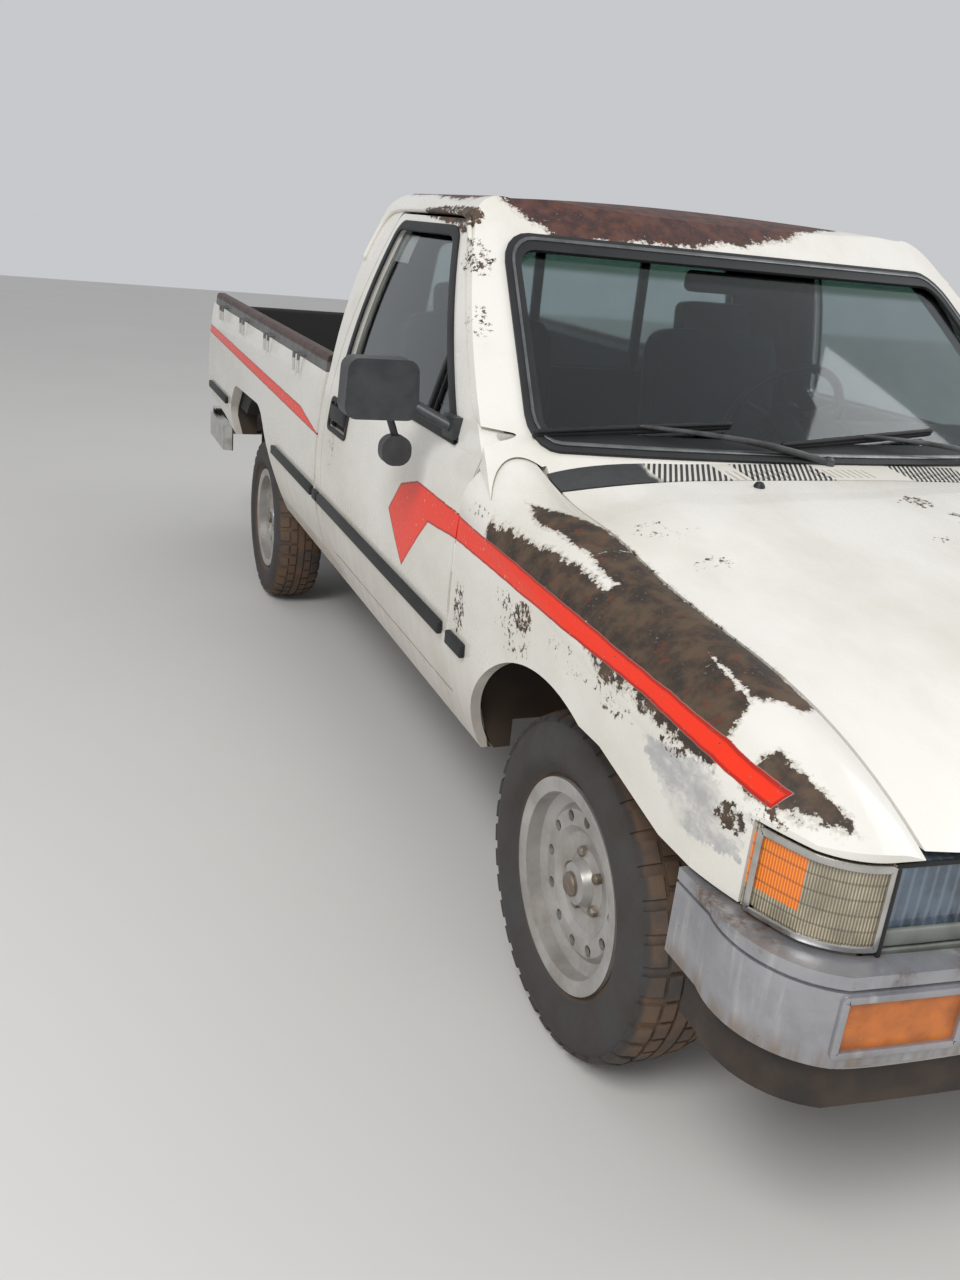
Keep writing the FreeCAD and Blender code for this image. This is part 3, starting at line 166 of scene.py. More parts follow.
def new_group(name, inputs, outputs):
    """A shader node group; inputs and outputs are (name, kind) pairs."""
    tree = bpy.data.node_groups.new(name, "ShaderNodeTree")
    kinds = {"value": "NodeSocketFloat", "vector": "NodeSocketVector", "colour": "NodeSocketColor"}
    for label, kind in inputs:
        tree.interface.new_socket(label, in_out="INPUT", socket_type=kinds[kind])
    for label, kind in outputs:
        tree.interface.new_socket(label, in_out="OUTPUT", socket_type=kinds[kind])
    sheet = Sheet(tree)
    start = tree.nodes.new("NodeGroupInput").outputs
    end = tree.nodes.new("NodeGroupOutput")
    return tree, sheet, start, end


def new_material(name, **sockets):
    """A material with a Principled shader whose plain sockets are set by name."""
    material = bpy.data.materials.new(name)
    material.use_nodes = True
    shader = material.node_tree.nodes["Principled BSDF"]
    for key, value in sockets.items():
        shader.inputs[key.replace("_", " ").title().replace("Ior", "IOR")].default_value = value
    sheet = Sheet(material.node_tree)
    place = sheet.add("TexCoord").outputs["Object"]
    return material, sheet, shader, place


def dress(material, *nodes):
    for name in nodes:
        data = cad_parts[name].data
        data.materials.clear()
        data.materials.append(material)


dust_group, sheet, start, end = new_group(
    "road_dust", [("Place", "vector"), ("Colour", "colour"), ("Roughness", "value"),
                  ("Height", "value"), ("Amount", "value")],
    [("Colour", "colour"), ("Roughness", "value")])
height = sheet.axes(start["Place"])["Z"]
low = sheet.ramp(sheet.math("DIVIDE", height, start["Height"]), 0.2, 1.0, 1.0, 0.0)
cloud = sheet.noise(start["Place"], 9.0, 5.0, 0.65)
grit = sheet.noise(start["Place"], 90.0, 3.0, 0.6)
share = sheet.times(low, sheet.ramp(cloud, 0.25, 0.75), sheet.ramp(grit, 0.2, 0.7, 0.6, 1.0),
                    start["Amount"])
sheet.give(end, Colour=sheet.mix(share, start["Colour"], colour(132, 106, 82)),
           Roughness=sheet.most(start["Roughness"], sheet.times(share, 0.9)))


def dusty(name, shade, roughness, metallic=0.0, height=0.7, amount=0.8, grain=60.0,
          bump=0.15, second=None, scale=14.0):
    """A plain finish broken up by noise, with road dust on it."""
    material, sheet, shader, place = new_material(name, metallic=metallic)
    cloud = sheet.noise(place, scale, 5.0, 0.6)
    fine = sheet.noise(place, grain, 4.0, 0.6)
    other = second or tuple(value * 0.6 for value in shade[:3]) + (1.0,)
    base = sheet.mix(sheet.ramp(cloud, 0.35, 0.7), shade, other)
    rough = sheet.plus(sheet.times(fine, 0.25), roughness - 0.12)
    out = sheet.group(dust_group, Place=place, Colour=base, Roughness=rough, Height=height,
                      Amount=amount)
    sheet.give(shader, Base_Color=out["Colour"], Roughness=out["Roughness"])
    sheet.relief(shader, fine, bump)
    return material


chassis_black = dusty("chassis_black", colour(38, 34, 31), 0.75, height=0.8, amount=0.9,
                      second=colour(72, 46, 30))
dress(chassis_black, "chassis_frame", "leaf_springs", "rear_axle", "propshaft", "front_arms",
      "knuckle_left", "knuckle_right", "tie_rod", "fuel_tank")
exhaust_steel = dusty("rusted_exhaust", colour(92, 66, 50), 0.7, metallic=0.4, height=0.8,
                      second=colour(60, 42, 33))
dress(exhaust_steel, "exhaust")
engine_iron = dusty("engine_iron", colour(62, 60, 58), 0.6, metallic=0.5, height=1.2, amount=0.5)
dress(engine_iron, "engine_block")
gearbox_alloy = dusty("gearbox_alloy", colour(120, 118, 114), 0.5, metallic=0.8, height=1.0)
dress(gearbox_alloy, "gearbox")

# Tyres: moulded rubber with a ribbed road tread whose ribs are cut into blocks.
# Each stands for the plain ring of the model and turns with its wheel.
TREAD_STEPS = 216
TREAD_DEPTH = 0.006
TYRE_HALF = [(0.011, 0.311), (0.017, 0.311), (0.040, 0.3103), (0.046, 0.3095), (0.070, 0.3035),
             (0.080, 0.296), (0.0865, 0.284), (0.0905, 0.270), (0.0925, 0.256), (0.0925, 0.240),
             (0.090, 0.226), (0.086, 0.222), (0.082, 0.214), (0.0657, 0.200), (0.0657, 0.1785)]
# Tread ribs: least and greatest distance from the middle, steps of a block, steps of its gap
TREAD_RIBS = [(0.0, 0.0112, 5, 0), (0.0168, 0.0402, 4, 1), (0.0458, 0.0802, 4, 2)]
TREAD_FOOT = 0.2955  # faces further out than this radius can carry tread
TREAD_STAGGER = 2  # steps by which the left half's blocks run ahead
FRONT_HUB, REAR_HUB, HUB_HEIGHT = 0.690, 0.682, 0.318
MEAN_HUB = (FRONT_HUB + REAR_HUB) / 2
REAR_AXLE_Y = FRONT_AXLE_Y + WHEELBASE
HUBS = {
    "front_left": (FRONT_HUB, FRONT_AXLE_Y), "front_right": (-FRONT_HUB, FRONT_AXLE_Y),
    "rear_left": (REAR_HUB, REAR_AXLE_Y), "rear_right": (-REAR_HUB, REAR_AXLE_Y),
}


def hub_place(corner):
    """The move of a piece from the origin, its outer face along X, to a corner's hub."""
    side, back = HUBS[corner]
    place = Matrix.Translation((side, back, HUB_HEIGHT))
    return place @ Matrix.Rotation(math.pi, 4, "Z") if side < 0 else place


def begin():
    """Leaves nothing selected, so that an operator acts on the new piece alone."""
    if bpy.context.mode != "OBJECT":
        bpy.ops.object.mode_set(mode="OBJECT")
    bpy.ops.object.select_all(action="DESELECT")


def take(piece):
    begin()
    piece.select_set(True)
    bpy.context.view_layer.objects.active = piece


def edit():
    bpy.ops.object.mode_set(mode="EDIT")
    bpy.ops.mesh.select_all(action="SELECT")


def close_up():
    """Merges doubles, points every face outwards and leaves edit mode."""
    bpy.ops.mesh.select_all(action="SELECT")
    bpy.ops.mesh.remove_doubles(threshold=0.00002)
    bpy.ops.mesh.normals_make_consistent(inside=False)
    bpy.ops.object.mode_set(mode="OBJECT")


def outline(name, points, fill="NOTHING"):
    """A ring of points in space, filled or not."""
    begin()
    bpy.ops.mesh.primitive_circle_add(vertices=len(points), radius=1, fill_type=fill)
    piece = bpy.context.object
    piece.name = name
    for vertex, point in zip(piece.data.vertices, points):
        vertex.co = point
    return piece


def turned(name, profile, steps):
    """A shape turned about the X axis from a closed outline of (along, radius) points."""
    piece = outline(name, [(along, 0, radius) for along, radius in profile])
    edit()
    bpy.ops.mesh.spin(steps=steps, angle=2 * math.pi, center=(0, 0, 0), axis=(1, 0, 0))
    close_up()
    return piece


def finish(piece, material, smooth=35):
    """Applies what the piece still carries and gives it its material."""
    take(piece)
    for modifier in list(piece.modifiers):
        bpy.ops.object.modifier_apply(modifier=modifier.name)
    bpy.ops.object.transform_apply(location=True, rotation=True, scale=True)
    bpy.ops.object.shade_smooth_by_angle(angle=math.radians(smooth))
    piece.data.materials.clear()
    piece.data.materials.append(material)
    return piece


def copied(piece, name, turn=None):
    """A copy with its own mesh, moved by the matrix turn."""
    twin = piece.copy()
    twin.data = piece.data.copy()
    twin.name = name
    bpy.context.collection.objects.link(twin)
    if turn is not None:
        twin.data.transform(turn)
        if turn.determinant() < 0:
            twin.data.flip_normals()
    return twin


tyre_rubber, sheet, shader, place = new_material("tyre_rubber")
axes = sheet.axes(place)
mottle = sheet.noise(place, 12.0, 5.0, 0.6)
fine = sheet.noise(place, 160.0, 4.0, 0.6)
base = sheet.mix(sheet.ramp(mottle, 0.3, 0.7), colour(62, 62, 62), colour(44, 44, 45))
tread = sheet.ramp(sheet.unsigned(sheet.minus(sheet.unsigned(axes["X"]), MEAN_HUB)), 0.084, 0.070)
earth = sheet.times(sheet.ramp(tread, 0.0, 1.0, 0.12, 0.80), sheet.ramp(mottle, 0.25, 0.65))
base = sheet.mix(earth, base, colour(112, 88, 68))
sheet.give(shader, Base_Color=base, Roughness=sheet.line(fine, 0.2, 0.72))
sheet.relief(shader, fine, 0.2)
ring = [(-along, radius) for along, radius in reversed(TYRE_HALF)] + TYRE_HALF
tyre = turned("tyre_pattern", ring, TREAD_STEPS)
take(tyre)
edit()
bpy.ops.mesh.select_all(action="DESELECT")
bpy.ops.mesh.select_mode(type="FACE")
shape = bmesh.from_edit_mesh(tyre.data)
for face in shape.faces:
    middle = face.calc_center_median()
    if math.hypot(middle.y, middle.z) < TREAD_FOOT:
        continue
    step = int(((math.atan2(middle.z, middle.y) / (2 * math.pi)) % 1.0) * TREAD_STEPS + 0.01)
    for near, far, block, gap in TREAD_RIBS:
        if near <= abs(middle.x) <= far:
            shift = TREAD_STAGGER if middle.x > 0 else 0
            face.select = gap == 0 or (step + shift) % (block + gap) < block
bmesh.update_edit_mesh(tyre.data)
bpy.ops.mesh.extrude_region_shrink_fatten(
    TRANSFORM_OT_shrink_fatten={"value": TREAD_DEPTH, "use_even_offset": False})
bpy.ops.object.mode_set(mode="OBJECT")
finish(tyre, tyre_rubber, 40)
for corner in HUBS:
    piece = copied(tyre, "road_tyre_" + corner, hub_place(corner))
    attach(piece, "wheel_" + corner)
    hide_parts("tyre_" + corner)
bpy.data.objects.remove(tyre)
dress(tyre_rubber, "spare_wheel")

# Wheels: pressed steel discs welded into their rims and sprayed silver. Five
# nuts hold each one, and a pressed cap keeps dust out of the hub.
wheel_silver = dusty("wheel_silver", colour(186, 185, 182), 0.40, metallic=0.55, height=0.75,
                     amount=0.35, second=colour(160, 158, 154))
nut_steel = dusty("nut_steel", colour(150, 146, 140), 0.42, metallic=0.6, height=0.7, amount=0.3,
                  second=colour(112, 96, 80))
NUT_COUNT, NUT_CIRCLE, FIRST_NUT = 5, 0.05715, 18
cap = turned("hub_cap", [(0.050, 0.0), (0.050, 0.0225), (0.0640, 0.0225), (0.0670, 0.0200),
                         (0.0680, 0.0)], 32)
finish(cap, nut_steel, 30)
nut = turned("wheel_nut", [(0.028, 0.0), (0.028, 0.0105), (0.039, 0.0105), (0.043, 0.0070),
                           (0.044, 0.0)], 6)
take(nut)
edit()
bpy.ops.mesh.bevel(offset=0.0008, segments=2, affect="EDGES")
close_up()
finish(nut, nut_steel, 25)
for corner in HUBS:
    dress(wheel_silver, "rim_" + corner)
    place = hub_place(corner)
    pieces = [copied(cap, "dust_cap_" + corner, place)]
    for index in range(NUT_COUNT):
        around = Matrix.Rotation(math.radians(360 / NUT_COUNT * index + FIRST_NUT), 4, "X")
        out = Matrix.Translation((0, 0, NUT_CIRCLE))
        pieces.append(copied(nut, f"wheel_nut_{corner}_{index + 1}", place @ around @ out))
    for piece in pieces:
        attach(piece, "wheel_" + corner)
for piece in (cap, nut):
    bpy.data.objects.remove(piece)

# Paint: old white enamel over brown primer on the cab, wings, doors, bonnet and
# bed. It has worn through along the wing and on the roof, and chips elsewhere.
# The body sits nose down: it is drawn level, rearward of the front axle, then turned.
RAKE = math.radians(1.65)
TO_TRUCK = (
    Matrix.Translation((0, FRONT_AXLE_Y, HUB_HEIGHT))
    @ Matrix.Rotation(RAKE, 4, "X")
    @ Matrix.Translation((0, 0, -HUB_HEIGHT))
)
TO_BODY = TO_TRUCK.inverted()


def on_body(sheet, place):
    """The place on the level body that a place on the truck comes from."""
    mapping = sheet.add("Mapping", place)
    mapping.inputs["Location"].default_value = TO_BODY.to_translation()
    mapping.inputs["Rotation"].default_value = TO_BODY.to_euler()
    return mapping.outputs[0]


patch_group, sheet, start, end = new_group(
    "patch", [("Place", "vector"), ("Centre", "vector"), ("Reach", "vector")],
    [("Value", "value")])
offset = sheet.add("VectorMath", start["Place"], start["Centre"], operation="SUBTRACT")
share = sheet.add("VectorMath", offset.outputs[0], start["Reach"], operation="DIVIDE")
away = sheet.add("VectorMath", share.outputs[0], operation="LENGTH").outputs["Value"]
sheet.put(end, "Value", sheet.ramp(away, 1.0, 0.45))

# Chipped places: centre, reach (metres on the level body), strength
CHIPPED = [
    ((-0.785, 0.000, 0.885), (0.060, 0.330, 0.050), 0.25),
    ((-0.800, 0.430, 0.905), (0.060, 0.080, 0.030), 0.34),
    ((-0.835, 0.240, 0.785), (0.080, 0.070, 0.030), 0.44),
    ((-0.835, 0.155, 0.780), (0.080, 0.060, 0.045), 0.52),
    ((-0.835, 0.200, 0.735), (0.080, 0.150, 0.060), 0.35),
    ((-0.835, -0.030, 0.775), (0.080, 0.130, 0.038), 0.39),
    ((-0.835, -0.200, 0.772), (0.080, 0.130, 0.040), 0.42),
    ((-0.835, -0.360, 0.782), (0.080, 0.070, 0.026), 0.42),
    ((-0.835, 0.455, 0.690), (0.080, 0.050, 0.100), 0.42),
    ((-0.830, -0.505, 0.750), (0.070, 0.045, 0.035), 0.60),
    ((-0.820, -0.560, 0.770), (0.070, 0.050, 0.030), 0.45),
    ((-0.665, 1.130, 1.440), (0.035, 0.330, 0.035), 0.66),
    ((-0.664, 1.040, 1.420), (0.040, 0.100, 0.050), 0.60),
    ((-0.690, 0.900, 1.355), (0.050, 0.110, 0.090), 0.46),
    ((-0.740, 0.750, 1.230), (0.050, 0.100, 0.110), 0.36),
    ((-0.690, 1.000, 1.300), (0.060, 0.350, 0.180), 0.22),
    ((-0.005, 0.160, 0.985), (0.060, 0.060, 0.030), 0.48),
    ((0.030, 0.060, 0.975), (0.060, 0.070, 0.030), 0.36),
    ((-0.095, -0.022, 0.964), (0.040, 0.030, 0.020), 0.40),
    ((0.290, -0.150, 0.960), (0.220, 0.170, 0.060), 0.28),
    ((-0.600, 0.120, 0.950), (0.110, 0.070, 0.040), 0.33),
    ((-0.580, -0.020, 0.925), (0.070, 0.060, 0.030), 0.30),
    ((0.800, -0.300, 0.780), (0.080, 0.350, 0.100), 0.33),
    ((0.780, 0.050, 0.890), (0.070, 0.400, 0.060), 0.46),
    ((0.800, 2.900, 0.760), (0.080, 0.500, 0.080), 0.33),
    ((-0.830, 1.560, 0.780), (0.060, 0.060, 0.080), 0.30),
    ((-0.835, 0.560, 0.900), (0.060, 0.060, 0.030), 0.30),
    ((0.000, 3.945, 0.640), (0.700, 0.050, 0.080), 0.36),
]
# Bare primer on the wing's top, each outline convex: (rearward, sideways)
WING_BARE = [
    [(0.320, -0.770), (0.260, -0.740), (0.160, -0.688), (0.060, -0.680), (0.060, -0.762),
     (0.155, -0.774), (0.240, -0.786)],
    [(0.070, -0.680), (-0.440, -0.676), (-0.446, -0.705), (-0.405, -0.750), (-0.020, -0.765),
     (0.070, -0.762)],
    [(-0.030, -0.745), (-0.400, -0.738), (-0.413, -0.762), (-0.470, -0.772), (-0.540, -0.785),
     (-0.445, -0.830), (-0.030, -0.830)],
    [(0.360, -0.822), (0.210, -0.804), (0.100, -0.788), (-0.060, -0.776),
     (-0.060, -0.842), (0.360, -0.846)],
    [(-0.500, -0.770), (-0.640, -0.738), (-0.665, -0.830), (-0.500, -0.830)],
]
# Bare primer on the roof: (sideways, rearward)
ROOF_BARE = [
    [(-0.480, 0.920), (0.030, 0.910), (0.120, 0.950), (0.340, 0.985), (0.560, 1.100),
     (0.600, 1.640), (-0.610, 1.660), (-0.630, 1.120), (-0.570, 1.020)],
]
# Stripe outlines (rearward, up), each one convex: wing, door, door's tip, bed
STRIPES = [
    [(0.530, 0.819), (0.530, 0.870), (0.166, 0.857), (-0.190, 0.8384), (-0.190, 0.8122),
     (0.146, 0.814)],
    [(-0.090, 0.813), (-0.090, 0.8427), (-0.315, 0.835), (-0.315, 0.8104)],
    [(-0.200, 0.8155), (-0.200, 0.8389), (-0.315, 0.835), (-0.448, 0.826), (-0.432, 0.799)],
    [(-0.370, 0.8053), (-0.370, 0.8313), (-0.436, 0.827), (-0.558, 0.808), (-0.552, 0.786)],
    [(0.500, 0.869), (0.800, 0.8725), (0.850, 0.857), (0.850, 0.7945), (0.500, 0.819)],
    [(0.690, 0.806), (0.800, 0.872), (0.905, 0.842), (0.973, 0.765), (0.843, 0.660)],
    [(4.000, 0.880), (4.000, 0.844), (1.700, 0.788), (1.480, 0.752), (1.700, 0.828)],
]
# Lowest bare primer on the wing, in front and behind, and on the roof
WING_LOWEST = (0.790, 0.836)
ROOF_EDGE = 1.395
# The cab and the bed inside, and where the body's flanks begin beside the bonnet
CAB_FRONT, CAB_REAR, CAB_FLOOR = 0.44, 1.705, 0.40
BED_HALF, BED_FLOOR, BED_FRONT, BED_REAR = 0.775, 0.600, 1.765, 3.935
FLANK = 0.690
# Half width of the skin's inner face by height: lines below, at and above the waist
SKIN_BELOW, SKIN_WAIST, SKIN_ABOVE = (0.2677, 0.6500), 0.800, (-0.31, 1.1014)
# The windscreen's inner face by height, and the roof's by the side's square
SCREEN_INNER, ROOF_INNER = (-1.2755, 0.8826), (-0.10, 1.475)
ROOF_ROLL_FROM, ROOF_ROLL = 1.06, 3.0
WAIST, ARCH_FRONT = 0.80, -0.50
# Bare metal where the wing was knocked: (rearward, up)
DENT = [[(-0.270, 0.765), (-0.430, 0.790), (-0.545, 0.775), (-0.530, 0.700), (-0.400, 0.680)]]


def inside_of(sheet, outlines, first, second):
    """How far a point is inside the outlines, metres, below nought outside them."""
    result = None
    for points in outlines:
        middle = [sum(point[axis] for point in points) / len(points) for axis in (0, 1)]
        within = None
        for (u0, v0), (u1, v1) in zip(points, points[1:] + points[:1]):
            length = math.hypot(u1 - u0, v1 - v0)
            along, across = (v1 - v0) / length, -(u1 - u0) / length
            shift = -(along * u0 + across * v0)
            if along * middle[0] + across * middle[1] + shift < 0:
                along, across, shift = -along, -across, -shift
            edge = sheet.line(second, across, shift)
            edge = sheet.line(first, along, edge)
            within = edge if within is None else sheet.least(within, edge)
        result = within if result is None else sheet.most(result, within)
    return result


paint_group, sheet, start, end = new_group(
    "old_white_enamel", [("Place", "vector")],
    [("Colour", "colour"), ("Roughness", "value"), ("Height", "value"), ("Coat", "value")])
place = on_body(sheet, start["Place"])
axes = sheet.axes(place)
side, back, up = axes["X"], axes["Y"], axes["Z"]
stretch = sheet.stretched(place, (1.0, 0.55, 1.0))
ragged = sheet.noise(stretch, 15.0, 9.0, 0.72)
specks = sheet.noise(place, 85.0, 5.0, 0.7)
grain = sheet.noise(place, 170.0, 3.0, 0.6)

# Worn-through areas with a ragged edge, and islands of paint left inside them
shake = sheet.plus(sheet.line(ragged, 0.080, -0.040), sheet.line(specks, 0.060, -0.030))
lowest = sheet.ramp(back, -0.16, 0.02, *WING_LOWEST)
on_wing = sheet.least(inside_of(sheet, WING_BARE, back, side), sheet.minus(up, lowest))
on_roof = sheet.least(inside_of(sheet, ROOF_BARE, side, back), sheet.minus(up, ROOF_EDGE))
roof_share = sheet.ramp(on_roof, -0.005, 0.01)
wing_field = sheet.plus(sheet.least(sheet.times(on_wing, 1.7), 0.026), shake)
roof_field = sheet.plus(sheet.least(on_roof, 0.030), shake)
worn = sheet.most(wing_field, roof_field)
bare = sheet.ramp(worn, 0.0, 0.0035)
rim = sheet.ramp(worn, -0.012, 0.0)

# Chips, and bare metal where the wing was knocked
chipped = None
for centre, reach, strength in CHIPPED:
    value = sheet.times(
        sheet.group(patch_group, Place=place, Centre=centre, Reach=reach)["Value"], strength)
    chipped = value if chipped is None else sheet.most(chipped, value)
field = sheet.plus(sheet.times(chipped, 0.50), sheet.times(ragged, 0.50),
                   sheet.times(specks, 0.75))
bare = sheet.most(bare, sheet.ramp(field, 0.868, 0.884))
rim = sheet.most(rim, sheet.ramp(field, 0.835, 0.868))
dent = sheet.plus(inside_of(sheet, DENT, back, up), sheet.times(shake, 0.7))
dent = sheet.times(sheet.ramp(dent, 0.0, 0.004), sheet.ramp(side, -0.78, -0.80))

# Stripe, with a darker edge and scratches
wander = sheet.noise(place, 25.0, 3.0)
inside = sheet.plus(inside_of(sheet, STRIPES, back, up), sheet.line(wander, 0.004, -0.002))
flank = sheet.ramp(sheet.unsigned(side), FLANK, FLANK + 0.002)
kept = sheet.ramp(sheet.plus(specks, sheet.times(grain, 0.3)), 0.84, 0.87, 1.0, 0.0)
stripe = sheet.times(sheet.ramp(inside, -0.0005, 0.0008), flank, kept)
stripe_body = sheet.ramp(inside, 0.003, 0.006)

# Colours: enamel with dirt low down, stripe over it, primer where both are gone
dirt = sheet.noise(stretch, 4.0, 6.0, 0.6)
white = sheet.mix(sheet.ramp(dirt, 0.35, 0.75), colour(228, 225, 217), colour(212, 207, 195))
streak = sheet.noise(sheet.stretched(place, (9.0, 9.0, 0.8)), 2.4, 4.0)
low_dirt = sheet.times(sheet.ramp(up, 0.40, 0.70, 0.60, 0.0), streak)
white = sheet.mix(low_dirt, white, colour(160, 138, 112))
pepper = sheet.times(sheet.ramp(grain, 0.70, 0.74), sheet.ramp(chipped, 0.02, 0.25, 0.08, 0.8))
white = sheet.mix(pepper, white, colour(70, 56, 46))
coated = sheet.mix(stripe, white,
                   sheet.mix(stripe_body, colour(172, 28, 4), colour(238, 46, 2)))
primer_tone = sheet.noise(place, 22.0, 6.0, 0.65)
primer = sheet.mix(roof_share, colour(84, 66, 48), colour(90, 55, 45))
primer_dark = sheet.mix(roof_share, colour(46, 36, 28), colour(56, 34, 31))
primer = sheet.mix(sheet.ramp(primer_tone, 0.35, 0.62), primer, primer_dark)
rust = sheet.times(sheet.ramp(sheet.noise(place, 34.0, 4.0), 0.58, 0.68), 0.7)
primer = sheet.mix(rust, primer, colour(98, 50, 30))
pale = sheet.times(sheet.ramp(grain, 0.62, 0.70), sheet.ramp(primer_tone, 0.5, 0.6, 0.0, 0.6))
primer = sheet.mix(pale, primer, colour(150, 140, 124))
unstriped = sheet.minus(1.0, stripe)
coated = sheet.mix(sheet.times(rim, 0.40, unstriped), coated, colour(146, 132, 112))
dent = sheet.times(dent, unstriped, sheet.ramp(ragged, 0.38, 0.60, 0.10, 0.75))
coated = sheet.mix(dent, coated, colour(150, 150, 154))
bare = sheet.times(bare, sheet.minus(1.0, sheet.times(stripe, 0.97)))
shown = sheet.mix(bare, coated, primer)

# Painted shade: faces inside the cab, inside the bed and all that is behind the skin are painted
# near black for the shade there, with brown dirt low down
across = sheet.unsigned(side)
skin = sheet.least(sheet.line(up, *SKIN_BELOW), SKIN_WAIST, sheet.line(up, *SKIN_ABOVE))
behind_skin = sheet.minus(skin, across)
screen_line = sheet.line(up, *SCREEN_INNER)
front_roll = sheet.most(sheet.minus(ROOF_ROLL_FROM, back), 0.0)
roof_line = sheet.minus(sheet.line(sheet.times(side, side), *ROOF_INNER),
                        sheet.times(front_roll, front_roll, ROOF_ROLL))
cab_inside = sheet.least(behind_skin, sheet.minus(back, CAB_FRONT), sheet.plus(back, screen_line),
                         sheet.minus(CAB_REAR, back), sheet.minus(roof_line, up),
                         sheet.minus(up, CAB_FLOOR))
bed_inside = sheet.least(sheet.minus(BED_HALF, across), sheet.minus(up, BED_FLOOR),
                         sheet.minus(back, BED_FRONT), sheet.minus(BED_REAR, back))
underneath = sheet.least(behind_skin, sheet.minus(WAIST, up), sheet.minus(back, ARCH_FRONT),
                         sheet.minus(BED_REAR, back))
painted_shade_share = sheet.ramp(sheet.most(cab_inside, bed_inside, underneath), 0.0, 0.003)
shade = sheet.mix(sheet.ramp(cab_inside, 0.0, 0.003), colour(34, 32, 31), colour(30, 32, 36))
shade = sheet.mix(sheet.times(sheet.ramp(up, 0.62, 0.50), dirt), shade, colour(92, 74, 58))
gloss = sheet.line(low_dirt, 0.5, sheet.line(specks, 0.12, 0.20))
# The painted shade replaces the enamel on those faces
sheet.give(end, Colour=sheet.mix(painted_shade_share, shown, shade),
           Roughness=sheet.most(gloss, sheet.times(bare, 0.58), sheet.times(painted_shade_share, 0.75)),
           Height=sheet.line(bare, -0.7, sheet.times(specks, 0.05)),
           Coat=sheet.times(0.4, sheet.minus(1.0, sheet.most(bare, painted_shade_share, stripe))))

white_paint, sheet, shader, place = new_material("white_paint")
out = sheet.group(paint_group, Place=place)
sheet.give(shader, Base_Color=out["Colour"], Roughness=out["Roughness"], Coat_Weight=out["Coat"])
sheet.relief(shader, out["Height"], 0.35, 0.001)
dress(white_paint, "cab_shell", "door_left", "door_right", "fender_left", "fender_right",
      "bonnet", "load_bed", "tailgate", "nose_panel")

# Window rubbers: black extruded seals pressed round the glass, with a thin
# bright filler strip in the windscreen's.
LEAN = 0.90601  # the windscreen's lean from upright, radians
BOW = 3.2 / math.cos(LEAN)
SCREEN_FOOT = (0.38812, 1.012)  # its foot in the middle: (rearward, up)
CAB_BACK = 1.720
EDGE_ROUND = 0.0015


def on_screen(across, up, lift):
    """A point on the bowed windscreen, lifted off it."""
    back = (SCREEN_FOOT[0] + (up - SCREEN_FOOT[1]) * math.tan(LEAN)
            + (BOW - math.sqrt(BOW * BOW - across * across)) / math.cos(LEAN))
    return Vector((across, back, up)) + Vector((0, -math.cos(LEAN), math.sin(LEAN))) * lift


def round_centre(a, b, c):
    """Centre and radius of the circle through three points of a plane."""
    d = 2 * (a[0] * (b[1] - c[1]) + b[0] * (c[1] - a[1]) + c[0] * (a[1] - b[1]))
    squares = [point[0] ** 2 + point[1] ** 2 for point in (a, b, c)]
    x = (squares[0] * (b[1] - c[1]) + squares[1] * (c[1] - a[1]) + squares[2] * (a[1] - b[1])) / d
    y = (squares[0] * (c[0] - b[0]) + squares[1] * (a[0] - c[0]) + squares[2] * (b[0] - a[0])) / d
    return x, y, math.hypot(a[0] - x, a[1] - y)


# The cab's side in three arcs: (half width, height) at the foot, middle and head
SIDE_ARCS = [
    ((0.764, 0.381), (0.810, 0.4955), (0.836, 0.650)),
    ((0.836, 0.650), (0.833, 0.8095), (0.806, 0.985)),
    ((0.806, 0.985), (0.752, 1.2155), (0.668, 1.430)),
]
SLOPE_STEP = 0.001


def side_width(up):
    arc = next((arc for arc in SIDE_ARCS if up < arc[2][1]), SIDE_ARCS[-1])
    x, z, radius = round_centre(*arc)
    return x + math.sqrt(radius * radius - (up - z) ** 2)


def on_side(back, up, lift):
    """A point on the left side of the cab, lifted off it."""
    slope = (side_width(up + SLOPE_STEP) - side_width(up - SLOPE_STEP)) / (2 * SLOPE_STEP)
    return Vector((side_width(up), back, up)) + Vector((1, 0, -slope)).normalized() * lift


def window(low_half, low, high_half, high):
    """Corners of a window that narrows upwards."""
    return [(-low_half, low), (low_half, low), (high_half, high), (-high_half, high)]


def oblong(first, last, low, high):
    return [(first, low), (last, low), (last, high), (first, high)]


def on_back(across, up, lift):
    return Vector((across, CAB_BACK + lift, up))


def thickened(piece, thick, edge, angle):
    """Gives a sheet its thickness and eases the edges sharper than the angle."""
    wall = piece.modifiers.new("wall", "SOLIDIFY")
    wall.thickness, wall.offset = thick, 0
    soft = piece.modifiers.new("soft", "BEVEL")
    soft.width, soft.segments = edge, 2
    soft.limit_method, soft.angle_limit = "ANGLE", math.radians(angle)
    return piece


def edging(name, corners, radius, width, lay, thick, sunk=0.001, cuts=10):
    """A closed strip with rounded corners, laid on a face; width goes inwards."""
    piece = outline(name, [(u, v, 0) for u, v in corners], "NGON")
    edit()
    bpy.ops.mesh.bevel(offset=radius, segments=5, affect="VERTICES")
    bpy.ops.mesh.select_all(action="SELECT")
    bpy.ops.mesh.inset(thickness=width)
    bpy.ops.mesh.delete(type="FACE")
    bpy.ops.mesh.select_mode(type="EDGE")
    shape = bmesh.from_edit_mesh(piece.data)
    for edge in shape.edges:
        edge.select = edge.calc_length() > max(0.05, 2.2 * width)
    bmesh.update_edit_mesh(piece.data)
    bpy.ops.mesh.subdivide(number_cuts=cuts)
    bpy.ops.object.mode_set(mode="OBJECT")
    for vertex in piece.data.vertices:
        vertex.co = lay(vertex.co.x, vertex.co.y, thick / 2 - sunk)
    return thickened(piece, thick, EDGE_ROUND, 50)


